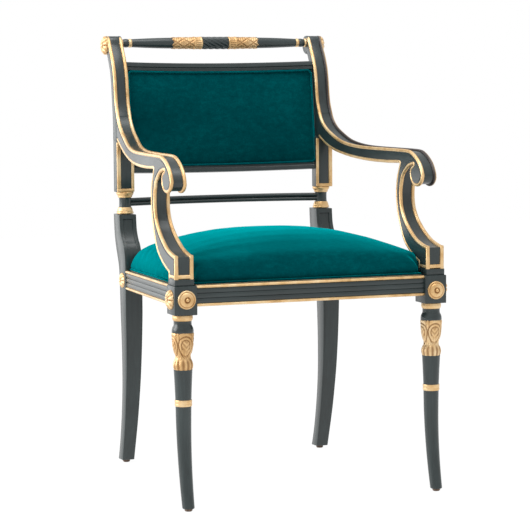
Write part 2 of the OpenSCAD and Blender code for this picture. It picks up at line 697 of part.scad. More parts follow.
// Screws that hold the seat, up through the corner blocks
screw_cover = 3;
seat_screw_l = corner_h + seat_frame_t - screw_cover;
function seat_screw_spot(end) = end > 0
    ? [front_in_x - corner_leg * 0.32, front_in_y + corner_leg * 0.32]
    : [rear_in_x - corner_leg * 0.28, rear_in_y - corner_leg * 0.3];
module seat_screw_shape(end, gap = 0)
    falling() translate([seat_screw_spot(end)[0], seat_screw_spot(end)[1], corner_z + seat_screw_l])
        rotate([180, 0, 0]) screw(seat_screw_l, gap);

module corner_block_screws() color(STEEL) chair()
    for (side = [1, -1], end = [1, -1]) block_screw_shapes(side, end);
module seat_screws() color(STEEL) chair() for (end = [1, -1]) {
    seat_screw_shape(end);
    mirror([1, 0, 0]) seat_screw_shape(end);
}
module seat_rail_dowels() color(BEECH) chair() {
    seat_dowel_shapes();
    mirror([1, 0, 0]) seat_dowel_shapes();
}
module both_dowels() color(BEECH) chair() {
    children();
    mirror([1, 0, 0]) children();
}

// The drop-in seat: its outline lies inside the rails' lips, the arm supports and the rear legs
seat_clear = 1;
seat_front_y = rail_set + lip_w + seat_clear;
seat_rear_y = rear_rail_y + rear_rail_t;
notch_x = front_in_x - seat_clear;
notch_y = block_w + 2 * seat_clear;
rear_notch_x = rear_in_x - seat_clear;
rear_notch_y = seat_depth - 2 * seat_clear;
function side_lip_x(y) =
    front_out_x - side_set - (lip_w + seat_clear) / cos(side_angle) - (y - block_w) * tan(side_angle);
function half_width(y) = y < notch_y ? notch_x : y > rear_notch_y ? rear_notch_x : side_lip_x(y);
half_outline = [
    [notch_x, seat_front_y], [notch_x, notch_y], [side_lip_x(notch_y), notch_y],
    [side_lip_x(rear_notch_y), rear_notch_y], [rear_notch_x, rear_notch_y], [rear_notch_x, seat_rear_y]
];
seat_outline = concat(half_outline, reversed([for (p = half_outline) [-p[0], p[1]]]));
seat_z = block_top_z - rebate_d;
module seat_opening() {
    rear = seat_rear_y - seat_frame_w;
    front = seat_front_y + seat_frame_w;
    polygon([
        [side_lip_x(front) - seat_frame_w, front], [side_lip_x(rear) - seat_frame_w, rear],
        [seat_frame_w - side_lip_x(rear), rear], [seat_frame_w - side_lip_x(front), front]
    ]);
}
module seat_frame() color(BEECH) chair() difference() {
    falling() translate([0, 0, seat_z]) difference() {
        linear_extrude(seat_frame_t) polygon(seat_outline);
        translate([0, 0, -cut]) linear_extrude(seat_frame_t + 2 * cut) seat_opening();
    }
    for (end = [1, -1]) {
        seat_screw_shape(end, fit_gap);
        mirror([1, 0, 0]) seat_screw_shape(end, fit_gap);
    }
}
web_lap = 20;
web_count = 5;
web_cross = 4;
module seat_webbing() color(JUTE) chair() falling() translate([0, 0, seat_z + seat_frame_t]) {
    rear = seat_rear_y - seat_frame_w;
    front = seat_front_y + seat_frame_w;
    half = side_lip_x(rear) - seat_frame_w;
    linear_extrude(web_t) {
        for (i = [0:web_count - 1])
            translate([-half + (i + 0.5) * 2 * half / web_count - web_w / 2, front - web_lap])
                square([web_w, rear - front + 2 * web_lap]);
        for (i = [0:web_cross - 1])
            translate([-half - web_lap, front + (i + 0.5) * (rear - front) / web_cross - web_w / 2])
                square([2 * half + 2 * web_lap, web_w]);
    }
}

// A cushion as a grid of points: a crowned face, a rounded edge and a flat back face.
// Its sides are drawn in below the widest line.
function closed_grid(nx, ny) = let (row = nx + 1, layer = (nx + 1) * (ny + 1)) concat(
    [for (j = [0:ny - 1], i = [0:nx - 1]) let (a = j * row + i)
        each [[a, a + row, a + 1], [a + 1, a + row, a + row + 1]]],
    [for (j = [0:ny - 1], i = [0:nx - 1]) let (a = layer + j * row + i)
        each [[a, a + 1, a + row], [a + 1, a + row + 1, a + row]]],
    [for (i = [0:nx - 1]) each [[i, i + 1, layer + i], [i + 1, layer + i + 1, layer + i]]],
    [for (i = [0:nx - 1]) let (a = ny * row + i)
        each [[a, layer + a, a + 1], [a + 1, layer + a, layer + a + 1]]],
    [for (j = [0:ny - 1]) let (a = j * row)
        each [[a, layer + a, a + row], [a + row, layer + a, layer + a + row]]],
    [for (j = [0:ny - 1]) let (a = j * row + nx)
        each [[a, a + row, layer + a], [a + row, layer + a + row, layer + a]]]
);
// How far along its edge radius a point has come, from 0 at the edge to 1
function edge_round(d, r) = let (k = min(max(d / r, 0), 1)) sqrt(1 - (1 - k) * (1 - k));
half_columns = [0.18, 0.36, 0.55, 0.72, 0.84, 0.91, 0.955, 0.985, 1];
column_shares = concat(reversed([for (c = half_columns) -c]), [0], half_columns);
edge_r = 30;
pad_in = 4;
side_in = 1;
row_step = 2;
seat_rows = concat(
    [for (d = [0, 0.06, 0.2, 0.45, 0.8]) seat_front_y + d * (notch_y - seat_front_y)],
    [notch_y + soft_gap, notch_y + row_step, notch_y + 4 * row_step],
    [for (d = [0.12, 0.2, 0.3, 0.42, 0.54, 0.66, 0.77, 0.87, 0.95]) notch_y + d * (rear_notch_y - notch_y)],
    [rear_notch_y - soft_gap, rear_notch_y + row_step / 2, (rear_notch_y + seat_rear_y) / 2],
    [seat_rear_y - row_step, seat_rear_y - soft_gap]
);
seat_half_max = side_lip_x(notch_y);
pad_base_z = seat_z + seat_frame_t + web_t + soft_gap;
// How domed the cushion is: a higher power gives a flatter top and steeper sides
seat_power = 2.6;
function seat_along(y) = abs(2 * (y - seat_front_y) / (seat_rear_y - seat_front_y) - 1);
function seat_dome(x, y) =
    seat_crown * (1 - pow(abs(x) / seat_half_max, seat_power)) * (1 - pow(seat_along(y), seat_power));
function seat_top(x, y, half) = let (d = min(half - abs(x), y - seat_front_y, seat_rear_y - y))
    pad_base_z + pad_in + (seat_edge_h - pad_in) * edge_round(d, edge_r) + max(seat_dome(x, y), 0);
// The room that the pad leaves round an arm support
module support_room() intersection() {
    rotate([90, 0, 90]) linear_extrude(wide_x) offset(delta = soft_gap) polygon(support_outline);
    translate([0, post_y, 0]) rotate([90, 0, 0]) linear_extrude(post_y) offset(delta = soft_gap)
        polygon(support_face);
}
module seat_pad() color(VELVET) chair() difference() {
    falling() pad_shape();
    support_room();
    mirror([1, 0, 0]) support_room();
}
module pad_shape() {
    nx = len(column_shares) - 1;
    ny = len(seat_rows) - 1;
    points = concat(
        [for (y = seat_rows) let (half = half_width(y) - soft_gap) for (c = column_shares)
            [c * half, y, seat_top(c * half, y, half)]],
        [for (y = seat_rows) let (half = half_width(y) - soft_gap - side_in) for (c = column_shares)
            [c * half, min(max(y, seat_front_y + side_in), seat_rear_y - soft_gap - side_in), pad_base_z]]
    );
    polyhedron(points, closed_grid(nx, ny));
}
dust_t = 1;
module dust_cover() color(CAMBRIC) chair() difference() {
    falling() translate([0, 0, rail_z - dust_t]) linear_extrude(dust_t) polygon([
        [front_in_x - cut, front_in_y - lip_w], [front_in_x - cut, block_w + cut],
        [rail_in_x(block_w) + lip_w, block_w + cut], [rail_in_x(seat_depth) + lip_w, seat_depth - cut],
        [rear_notch_x, seat_depth - cut], [rear_notch_x, rear_in_y + lip_w],
        [-rear_notch_x, rear_in_y + lip_w], [-rear_notch_x, seat_depth - cut],
        [-rail_in_x(seat_depth) - lip_w, seat_depth - cut], [-rail_in_x(block_w) - lip_w, block_w + cut],
        [cut - front_in_x, block_w + cut], [cut - front_in_x, front_in_y - lip_w]
    ]);
    translate([-front_x, 0, rail_z]) cube([2 * front_x, block_w, block_top_z - rail_z]);
}

// The back is a bent frame that leans back between the posts
back_half = post_out_x - post_w - soft_gap;
back_half_wide = post_out_x - arm_w - soft_gap;
bow_r = (back_half * back_half + back_bow * back_bow) / (2 * back_bow);
back_y = post_y + back_set;
bow_y = back_y + back_bow - bow_r;
module raked() translate([0, back_y, back_z]) rotate([-back_rake, 0, 0]) translate([0, -back_y, 0]) children();
// A section of depth behind the bow and height, swept along the bow and cut square between two X
sweep_angle = 2 * asin((back_half_wide + back_t) / bow_r);
module bowed(section, x0, x1) intersection() {
    translate([0, bow_y, 0]) rotate([0, 0, 90 - sweep_angle / 2])
        rotate_extrude(angle = sweep_angle, $fn = 180) polygon([for (p = section) [bow_r + p[0], p[1]]]);
    translate([x0, back_y - back_t, -back_h]) cube([x1 - x0, 4 * back_t + back_bow, 4 * back_h]);
}
function box_section(d0, d1, z0, z1) = [[d0, z0], [d1, z0], [d1, z1], [d0, z1]];
// The moulded fronts of the back's rails step back once towards the fabric
step_d = 3;
top_rail_section = [
    [0, back_h - top_rail_h * 0.55], [0, back_h - step_d / 2], [step_d / 2, back_h], [back_t, back_h],
    [back_t, back_h - top_rail_h], [step_d, back_h - top_rail_h], [step_d, back_h - top_rail_h * 0.55]
];
bottom_rail_section = [
    [0, step_d / 2], [step_d / 2, 0], [back_t, 0], [back_t, bottom_rail_h],
    [step_d, bottom_rail_h], [step_d, bottom_rail_h * 0.6], [0, bottom_rail_h * 0.6]
];
module back_top_rail() color(EBONY) chair() difference() {
    raked() bowed(top_rail_section, -back_half_wide, back_half_wide);
    back_dowel_shapes(fit_gap);
    mirror([1, 0, 0]) back_dowel_shapes(fit_gap);
}
module back_bottom_rail() color(EBONY) chair() difference() {
    raked() bowed(bottom_rail_section, -back_half, back_half);
    back_dowel_shapes(fit_gap);
    mirror([1, 0, 0]) back_dowel_shapes(fit_gap);
}
// The stile lies behind the padding, level with the board's face.
// Over the arm, where the upright is narrower than the post, it widens and comes forward beside the velvet.
stile_top = back_h - top_rail_h;
module back_stile(side) color(EBONY) hand(side) raked() {
    bowed(box_section(board_face, back_t, bottom_rail_h, stile_top), back_half - stile_w, back_half);
    bowed(box_section(step_d, back_t, narrow_z - back_z + step_d, stile_top), back_half, back_half_wide);
}
// The joint between back and upright, as a height in the raked back
bow_end = bow_y - back_y + sqrt(bow_r * bow_r - back_half * back_half);
function raked_spot(z, depth) = [
    back_y + (bow_end + depth) * cos(back_rake) + z * sin(back_rake),
    back_z + z * cos(back_rake) - (bow_end + depth) * sin(back_rake)
];
back_dowel_r = 3.2;
back_dowel_depth = 11;
module back_dowel_shapes(gap = 0) for (z = [bottom_rail_h / 2, back_h - top_rail_h / 2]) {
    spot = raked_spot(z, back_dowel_depth);
    rod_x(back_dowel_r + gap, back_half - short_bite - gap, back_half + short_bite + gap, spot[0], spot[1]);
}
board_face = back_t - rear_cover_t - back_board_t;
board_half = back_half - stile_w - soft_gap;
board_z0 = bottom_rail_h + soft_gap;
board_z1 = stile_top - soft_gap;
module back_board() color(BEECH) chair() raked()
    bowed(box_section(board_face, board_face + back_board_t, board_z0, board_z1), -board_half, board_half);
module back_rear_cover() color(VELVET) chair() raked()
    bowed(box_section(back_t - rear_cover_t + soft_gap, back_t, board_z0, board_z1), -board_half, board_half);
row_shares = [0, 0.012, 0.035, 0.075, 0.14, 0.24, 0.36, 0.5, 0.64, 0.76, 0.86, 0.925, 0.965, 0.988, 1];
pad_half = back_half - soft_gap;
pad_z0 = bottom_rail_h + soft_gap;
pad_z1 = back_h - top_rail_h - soft_gap;
back_edge_r = 14;
pad_step = 1;
back_edge_d = step_d + pad_step;
back_power = 2.2;
function bow_at(x) = bow_y + sqrt(bow_r * bow_r - x * x);
function back_dome(x, z) = back_crown * (1 - pow(abs(x) / pad_half, back_power))
    * (1 - pow(abs(2 * (z - pad_z0) / (pad_z1 - pad_z0) - 1), back_power));
function back_face(x, z) = let (d = min(pad_half - abs(x), z - pad_z0, pad_z1 - z))
    back_edge_d - (back_edge_d - pad_step) * edge_round(d, back_edge_r) - back_dome(x, z) + board_face / 4;
module back_pad() color(VELVET) chair() raked() {
    nx = len(column_shares) - 1;
    ny = len(row_shares) - 1;
    points = concat(
        [for (s = row_shares, c = column_shares) let (x = c * pad_half, z = pad_z0 + s * (pad_z1 - pad_z0))
            [x, bow_at(x) + back_face(x, z), z]],
        [for (s = row_shares, c = column_shares)
            let (x = c * (pad_half - pad_step), z = pad_z0 + pad_step + s * (pad_z1 - pad_z0 - 2 * pad_step))
            [x, bow_at(x) + board_face - soft_gap, z]]
    );
    polyhedron(points, closed_grid(nx, ny));
}

// The reeded stretcher lies on its own bow between the necks
stretcher_half = rear_x - neck_r * cos(asin(stretcher_t / 2 / neck_r));
stretcher_bow_r = (stretcher_half * stretcher_half + back_bow * back_bow) / (2 * back_bow);
stretcher_y = neck_y + back_bow - stretcher_bow_r;
half_reed = stretcher_h / 4;
stretcher_outline = concat(
    [for (a = [90:30:270]) [-stretcher_t / 2 + half_reed + half_reed * cos(a), half_reed + half_reed * sin(a)]],
    [for (a = [120:30:270])
        [-stretcher_t / 2 + half_reed + half_reed * cos(a), -half_reed + half_reed * sin(a)]],
    [for (a = [-90:30:90]) [stretcher_t / 2 - half_reed + half_reed * cos(a), -half_reed + half_reed * sin(a)]],
    [for (a = [-60:30:90]) [stretcher_t / 2 - half_reed + half_reed * cos(a), half_reed + half_reed * sin(a)]]
);
stretcher_sweep = 2 * asin((rear_x + neck_r) / stretcher_bow_r);
spigot_r = 4;
spigot_l = 8;
module stretcher_spigot(gap = 0)
    rod_x(spigot_r + gap, stretcher_half - spigot_l / 2, stretcher_half + spigot_l + gap, neck_y, stretcher_z);
module back_stretcher() color(EBONY) chair() {
    difference() {
        intersection() {
            translate([0, stretcher_y, stretcher_z]) rotate([0, 0, 90 - stretcher_sweep / 2])
                rotate_extrude(angle = stretcher_sweep, $fn = 180)
                    polygon([for (p = stretcher_outline) [stretcher_bow_r + p[0], p[1]]]);
            translate([-rear_x, neck_y - stretcher_t, stretcher_z - stretcher_h])
                cube([2 * rear_x, 4 * stretcher_t + back_bow, 2 * stretcher_h]);
        }
        for (x = [-rear_x, rear_x])
            rod_z(neck_r + fit_gap, stretcher_z - stretcher_h, stretcher_z + stretcher_h, x, neck_y);
    }
    intersection() {
        union() {
            stretcher_spigot();
            mirror([1, 0, 0]) stretcher_spigot();
        }
        translate([-rear_x, 0, 0]) cube([2 * rear_x, crook_y, crook_z]);
    }
}

// The turned crest rail between the top scrolls, from its middle to its right-hand end.
// Shares of its half length and of its largest radius.
crest_half = post_out_x - arm_w;
crest_shares = [
    [0, 0.98], [0.14, 1], [0.145, 0.9], [0.155, 0.9], [0.16, 1], [0.19, 1.02], [0.23, 0.99], [0.31, 1],
    [0.4, 0.98], [0.47, 1], [0.475, 0.87], [0.49, 0.87], [0.6, 0.8], [0.75, 0.7], [0.85, 0.62], [0.885, 0.6],
    [0.89, 0.72], [0.9, 0.8], [0.912, 0.8], [0.922, 0.72], [0.926, 0.58], [0.96, 0.56], [0.965, 0.75],
    [0.98, 0.82], [1, 0.82]
];
crest_hole_r = crest_end_r * 0.75;
crest_bite = 14;
module crest_spigot(gap)
    rod_x(crest_hole_r + gap, crest_half - cut, crest_half + crest_bite + gap, crook_y, crest_axis_z);
crest_end = crest_half - soft_gap / 2;
module crest_rail() color(EBONY) chair() for (m = [0, 1]) mirror([m, 0, 0])
    translate([0, crook_y, crest_axis_z]) rotate([0, 90, 0]) rotate_extrude() polygon(concat(
        [[0, 0]],
        [for (s = crest_shares) [s[1] * crest_r, s[0] * crest_end]],
        [[crest_hole_r, crest_end], [crest_hole_r, crest_half + crest_bite], [0, crest_half + crest_bite]]
    ));

// A turned rosette, seen from its seat: shares of its radius and of its height
rosette_shares = [
    [1, 0], [1, 0.26], [0.94, 0.38], [0.87, 0.38], [0.82, 0.28], [0.76, 0.3], [0.62, 0.48], [0.48, 0.55],
    [0.4, 0.5], [0.36, 0.42], [0.3, 0.45], [0.27, 0.72], [0.2, 0.92], [0.1, 1], [0, 1]
];
module rosette(r, h)
    rotate_extrude() polygon(concat([[0, 0]], [for (s = rosette_shares) [s[0] * r, s[1] * h]]));
block_mid_z = (block_z + block_top_z) / 2;
module front_rosette(side) color(GILT) hand(side)
    translate([front_x, 0, block_mid_z]) rotate([90, 0, 0]) rosette(rosette_r, rosette_h);
module side_rosette(side) color(GILT) hand(side)
    translate([front_out_x, leg_y, block_mid_z]) rotate([0, 90, 0]) rosette(rosette_r, rosette_h);
rear_rosette_z = block_mid_z - seat_fall / 2;
module rear_rosette(side) color(GILT) hand(side)
    translate([rear_out_x, seat_depth + rear_leg_d / 2, rear_rosette_z])
        rotate([0, 90, 0]) rosette(rear_rosette_r, rosette_h * 0.7);
scroll_margin = 0.5;
module scroll_rosette(side) color(GILT) hand(side)
    translate([post_out_x, crook_y, crook_z]) rotate([0, 90, 0]) rosette(crook_r - scroll_margin, rosette_h);

// Nail-on glides under the four feet
glide_pin_r = 1.5;
glide_pin_l = 12;
module glide_shape(x, y, gap)
    rod_z(glide_pin_r + gap, glide_h - cut, glide_h + glide_pin_l + gap, x, y);
module glide(x, y) {
    translate([x, y, 0]) rotate_extrude() polygon([
        [0, 0], [glide_r * 0.8, 0], [glide_r, glide_h * 0.4], [glide_r, glide_h], [glide_pin_r, glide_h],
        [glide_pin_r, glide_h + glide_pin_l], [0, glide_h + glide_pin_l]
    ]);
}
module glides() color(BEECH) chair() for (m = [0, 1]) mirror([m, 0, 0]) {
    glide(front_x, leg_y - foot_kick);
    glide(rear_x, rear_foot_y);
}

front_leg(-1);  // front_leg_left
front_leg(1);  // front_leg_right
rear_post(-1);  // rear_post_left
rear_post(1);  // rear_post_right
arm(-1);  // arm_left
arm(1);  // arm_right
arm_support(-1);  // arm_support_left
arm_support(1);  // arm_support_right
front_seat_rail();
rear_seat_rail();
side_seat_rail(-1);  // side_seat_rail_left
side_seat_rail(1);  // side_seat_rail_right
corner_block_front(-1);  // corner_block_front_left
corner_block_front(1);  // corner_block_front_right
corner_block_rear(-1);  // corner_block_rear_left
corner_block_rear(1);  // corner_block_rear_right
corner_block_screws();
seat_frame();
seat_webbing();
seat_pad();
dust_cover();
seat_screws();
crest_rail();
back_stretcher();
back_top_rail();
back_bottom_rail();
back_stile(-1);  // back_stile_left
back_stile(1);  // back_stile_right
back_board();
back_pad();
back_rear_cover();
front_rosette(-1);  // front_rosette_left
front_rosette(1);  // front_rosette_right
side_rosette(-1);  // side_rosette_left
side_rosette(1);  // side_rosette_right
rear_rosette(-1);  // rear_rosette_left
rear_rosette(1);  // rear_rosette_right
scroll_rosette(-1);  // scroll_rosette_left
scroll_rosette(1);  // scroll_rosette_right
seat_rail_dowels();
both_dowels() arm_dowel_shapes();  // arm_dowels
both_dowels() support_dowel_shapes();  // support_dowels
both_dowels() arm_rear_dowel_shapes();  // arm_rear_dowels
both_dowels() back_dowel_shapes();  // back_dowels
glides();
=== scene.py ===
# %% [markdown]
# This notebook dresses a solid model of an open armchair in ebonised and gilt wood with a
# velvet seat and back. The solid model fixes every size; here each piece gets the form and
# finish that the eye sees.

# %% Load the solid model
import json
from math import atan, atan2, ceil, cos, exp, floor, hypot, pi, radians, sin, sqrt, tan

import bmesh
import bpy
from mathutils import Matrix, Vector


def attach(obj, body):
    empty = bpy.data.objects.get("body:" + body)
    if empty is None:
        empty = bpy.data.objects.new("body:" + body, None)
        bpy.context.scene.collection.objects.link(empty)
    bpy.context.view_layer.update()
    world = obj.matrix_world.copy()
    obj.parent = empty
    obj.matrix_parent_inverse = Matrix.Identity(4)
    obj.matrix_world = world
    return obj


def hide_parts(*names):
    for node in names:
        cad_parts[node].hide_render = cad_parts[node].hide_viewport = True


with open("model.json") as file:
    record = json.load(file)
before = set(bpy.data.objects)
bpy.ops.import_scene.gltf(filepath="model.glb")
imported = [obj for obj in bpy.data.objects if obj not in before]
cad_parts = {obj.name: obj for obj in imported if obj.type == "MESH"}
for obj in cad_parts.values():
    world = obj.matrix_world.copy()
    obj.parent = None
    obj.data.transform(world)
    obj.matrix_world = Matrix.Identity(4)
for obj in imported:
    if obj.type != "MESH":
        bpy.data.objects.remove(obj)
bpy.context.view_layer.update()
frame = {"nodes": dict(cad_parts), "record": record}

print("solid model loaded,", len(frame["nodes"]), "nodes")

# %% [markdown]
# The sizes are the solid model's own, in millimetres, measured back from the front face of
# the front legs. Writing them down once keeps every dressed piece inside the solid it
# stands for. Two small helpers follow, and then the camera, because a photograph is
# matched by its camera first.

# %% Sizes of the chair in millimetres
MM = 0.001
middle_y = 283
front_x, rear_x, arm_x, upright_x = 251.4, 216.4, 252.5, 221.0
post_out_x = 237.0
leg_y, block_w, block_z, block_top_z = 22.0, 44.0, 363.0, 417.0
seat_depth, post_y = 446.0, 487.0
rear_leg_w, rear_foot_w, rear_kick, rear_block_top_z = 36.0, 25.0, 55.0, 517.0
post_w, post_d, post_z, neck_y = 37.0, 26.5, 563.0, 502.7
arm_w, arm_top_z, arm_t, channel_d = 32.0, 654.0, 29.5, 4.0
crook_y, crook_z, crook_r, rise = 560.0, 862.0, 19.5, 208.0
scroll_y, scroll_z, scroll_r = 61.0, 607.0, 29.0
rail_z, rail_h, rail_t, lip_w, rebate_d, seat_fall = 378.0, 39.0, 26.0, 8.0, 12.0, 11.0
crest_axis_z = 866.5

# %% Two small helpers
def unit(value):
    """The value, kept between 0 and 1."""
    return min(max(value, 0), 1)


def linked(name, data):
    made = bpy.data.objects.new(name, data)
    bpy.context.scene.collection.objects.link(made)
    return made


# %% The camera of the photograph
photo_camera = bpy.data.cameras.new("photo_camera")
photo_camera.lens = 143.64
photo_camera.sensor_width = 36
photo_camera.clip_start = 0.1
photo_camera.clip_end = 60
camera = linked("photo_camera", photo_camera)
camera.location = (-1.4497, -3.9433, 0.8162)
camera.rotation_euler = (radians(84.6439), radians(0.3893), radians(-20.3205))
bpy.context.scene.camera = camera
print("camera at", tuple(round(c, 3) for c in camera.location), "lens", photo_camera.lens)

# %% [markdown]
# A finish is a network of shader nodes. Writing such a network as sums and products is
# easier to read than a list of links, so a small class wraps one socket and turns each
# operator into a Math node. One method makes any other node from its type, its settings
# and the values or links of its sockets. The floor and the world use it as well.

# %% Shader maths as expressions
class Signal:
    def __init__(self, network, socket):
        self.network, self.socket = network, socket

    def maths(self, operation, *values):
        return self.network.node("Math", {"operation": operation}, dict(enumerate(values)))

    def __add__(self, other): return self.maths("ADD", self, other)
    def __radd__(self, other): return self.maths("ADD", other, self)
    def __sub__(self, other): return self.maths("SUBTRACT", self, other)
    def __rsub__(self, other): return self.maths("SUBTRACT", other, self)
    def __mul__(self, other): return self.maths("MULTIPLY", self, other)
    def sine(self): return self.maths("SINE", self)
    def clamped(self): return self.network.node("Clamp", {}, {"Value": self})


class Network:
    def __init__(self, tree):
        self.tree = tree

    def set(self, socket, value):
        if isinstance(value, Signal):
            self.tree.links.new(value.socket, socket)
        else:
            socket.default_value = value

    def node(self, kind, settings, inputs, output=0):
        made = self.tree.nodes.new("ShaderNode" + kind)
        for key, value in settings.items():
            if key == "stops":
                ramp = made.color_ramp.elements
                while len(ramp) < len(value):
                    ramp.new(0.5)
                for stop, (place, colour) in zip(ramp, value):
                    stop.position, stop.color = place, (*colour, 1)
            else:
                setattr(made, key, value)
        for key, value in inputs.items():
            self.set(made.inputs[key], value)
        return Signal(self, made.outputs[output])

    def rays(self, *kinds):
        return [self.node("LightPath", {}, {}, f"Is {kind} Ray") for kind in kinds]


class Finish(Network):
    def __init__(self, name):
        self.material = bpy.data.materials.new(name)
        self.material.use_nodes = True
        super().__init__(self.material.node_tree)
        self.shader = self.tree.nodes["Principled BSDF"]
        self.coords = self.node("TexCoord", {}, {}, "Object")

    def stretched(self, scale):
        return self.node("Mapping", {}, {"Vector": self.coords, "Scale": scale})

    def noise(self, scale, detail=4.0, rough=0.55, vector=None):
        return self.node("TexNoise", {}, {
            "Vector": vector or self.coords, "Scale": scale, "Detail": detail,
            "Roughness": rough}, "Fac")

    def ramp(self, factor, *stops):
        return self.node("ValToRGB", {"stops": stops}, {"Fac": factor}, "Color")

    def shades(self, factor, first, second):
        return self.node("Mix", {"data_type": "RGBA"}, {
            "Factor": factor, 6: first if isinstance(first, Signal) else (*first, 1),
            7: (*second, 1)}, 2)

    def bump(self, height, strength, distance):
        self.set(self.shader.inputs["Normal"], self.node("Bump", {}, {
            "Height": height, "Strength": strength, "Distance": distance}))

    def paint(self, **sockets):
        for key, value in sockets.items():
            self.set(self.shader.inputs[key.replace("_", " ")], value)
        return self.material


# %% [markdown]
# Ebonised wood is stained black and rubbed with wax or thin lacquer, so it is never pure
# black: long fine grain shows as slightly lighter streaks, and the sheen is uneven. Grain
# runs along each piece of wood, so there is one finish for each of three directions.

# %% Ebonised wood
def ebonised(name, along):
    wood = Finish(name)
    squeeze = {"x": (1.2, 20, 20), "y": (20, 1.2, 20), "z": (20, 20, 1.2)}[along]
    grain = wood.noise(9, 6, 0.65, wood.stretched(squeeze))
    pores = wood.noise(34, 2, 0.5, wood.stretched(squeeze))
    rubbed = wood.noise(7, 3, 0.5)
    tone = (grain * 0.65 + rubbed * 0.5 - 0.1).clamped()
    colour = wood.ramp(tone, (0.25, (0.0105, 0.0175, 0.0175)), (0.5, (0.018, 0.03, 0.0305)),
                       (0.78, (0.036, 0.054, 0.055)))
    wood.paint(Base_Color=colour, Roughness=(0.26 + rubbed * 0.16 + grain * 0.08).clamped(),
               Coat_Weight=0.35, Coat_Roughness=0.2, IOR=1.5)
    wood.bump(grain * 0.7 + pores * 0.3, 0.16, 0.0006)
    return wood.material


wood_x = ebonised("ebonised_wood_across", "x")
wood_y = ebonised("ebonised_wood_along", "y")
wood_z = ebonised("ebonised_wood_upright", "z")
print("ebonised wood in three grain directions")

# %% [markdown]
# Gilding is gold leaf over a red-brown clay on gesso. Rubbed high spots are pale and
# bright; hollows are painted darker and browner, partly for the size and dust they keep and
# partly as painted shade. Carved pieces carry an attribute named hollow, from 0 on a ridge
# to 1 in a groove, so that the finish knows where to paint that dust and shade.
# A second attribute, bare, marks where no gold is left and the dark ground shows.

# %% Gilt wood
gilt = Finish("gilt_wood")
hollow = gilt.node("Attribute", {"attribute_name": "hollow"}, {}, "Fac")
mottle = gilt.noise(55, 4, 0.6)
cloud = gilt.noise(14, 3, 0.5)
leaf = (mottle * 0.6 + cloud * 0.55 - 0.07).clamped()
bare = gilt.node("Attribute", {"attribute_name": "bare"}, {}, "Fac")
gold = gilt.ramp(leaf, (0.3, (0.57, 0.33, 0.12)), (0.48, (0.8, 0.52, 0.24)),
                 (0.7, (0.93, 0.72, 0.43)))
# Grooves are painted brown: dust and size, and painted shade.
dust_and_shade = gilt.shades((hollow * 0.8).clamped(), gold, (0.3, 0.135, 0.04))
gilt.paint(Base_Color=gilt.shades(bare.clamped(), dust_and_shade, (0.03, 0.021, 0.02)),
           Metallic=(0.66 - bare * 0.66).clamped(),
           Roughness=(0.3 + mottle * 0.2 + hollow * 0.15).clamped(),
           IOR=1.45, Coat_Weight=0.35, Coat_Roughness=0.3)
gilt.bump(mottle * 0.5 + gilt.noise(160, 2, 0.5) * 0.5, 0.12, 0.0006)
gilt_wood = gilt.material
print("gilt wood")

# %% [markdown]
# Velvet has a short upright pile. Seen along the pile it is deep and dark, and light that
# grazes it glows, which the shader's sheen gives. Where the pile has been brushed or sat
# on it leans in soft patches, so the colour drifts slowly, and a fine bump breaks the
# surface like pile tips.

# %% Velvet
def velvet_cloth(name, light):
    cloth = Finish(name)
    nap = cloth.noise(6.5, 3, 0.5, cloth.stretched((1, 0.8, 1.6)))
    brushed = cloth.noise(70, 5, 0.65, cloth.stretched((1, 1.6, 1.6)))
    pile = cloth.noise(420, 2, 0.6)
    tone = (nap * 0.42 + brushed * 0.42 + pile * 0.3 - 0.07).clamped()
    stops = ((0.3, 0.032, 0.039), (0.5, 0.056, 0.065), (0.7, 0.098, 0.108))
    teal = cloth.ramp(tone, *((at, (0.0, green * light, blue * light))
                              for at, green, blue in stops))
    cloth.paint(Base_Color=teal, Roughness=(0.78 + pile * 0.2).clamped(), Specular_IOR_Level=0.0,
                Sheen_Weight=0.9, Sheen_Roughness=0.42, Sheen_Tint=(0.0, 0.64, 0.69, 1))
    cloth.bump(pile * 0.5 + brushed * 0.7, 0.4, 0.001)
    return cloth.material


velvet = velvet_cloth("velvet", 0.86)
# A lighter copy of the velvet, a painted highlight where light catches the tight round of the
# back's welt.
velvet_painted_highlight = velvet_cloth("velvet_painted_highlight", 1.35)
print("velvet, and a lighter one for its welts")

# %% [markdown]
# Inside and under the chair are plain workshop materials: beech blocks and dowels, jute
# webbing, zinc screws, a black dust cloth and brown glides. They hardly show, but each
# still has its own grain, weave or wear.

# %% Beech
beech_finish = Finish("beech")
ring = beech_finish.noise(5, 5, 0.6, beech_finish.stretched((3, 3, 26)))
fleck = beech_finish.noise(120, 2, 0.5, beech_finish.stretched((1, 1, 0.2)))
timber = beech_finish.ramp((ring * 0.75 + fleck * 0.3).clamped(), (0.3, (0.42, 0.25, 0.13)),
                           (0.52, (0.58, 0.39, 0.22)), (0.75, (0.7, 0.5, 0.31)))
beech_finish.paint(Base_Color=timber, Roughness=(0.5 + fleck * 0.2).clamped())
beech_finish.bump(ring * 0.6 + fleck * 0.4, 0.15, 0.0005)
beech = beech_finish.material

# %% Woven cloths: jute webbing and black dust cloth
def woven(name, threads, dark, light, rough):
    cloth = Finish(name)
    x, y = (cloth.node("SeparateXYZ", {}, {"Vector": cloth.coords}, axis)
            for axis in "XY")
    over = (x * threads).sine() * (y * threads).sine() * 0.5 + 0.5
    slub = cloth.noise(60, 3, 0.6, cloth.stretched((1, 6, 1)))
    cloth.paint(Base_Color=cloth.shades((over * 0.6 + slub * 0.5 - 0.05).clamped(), dark, light),
                Roughness=(rough + slub * 0.1).clamped())
    cloth.bump(over * 0.7 + slub * 0.3, 0.5, 0.0008)
    return cloth.material


jute = woven("jute_webbing", 1400, (0.22, 0.15, 0.08), (0.5, 0.39, 0.24), 0.8)
dust_cloth = woven("dust_cloth", 2600, (0.012, 0.012, 0.014), (0.04, 0.04, 0.045), 0.85)

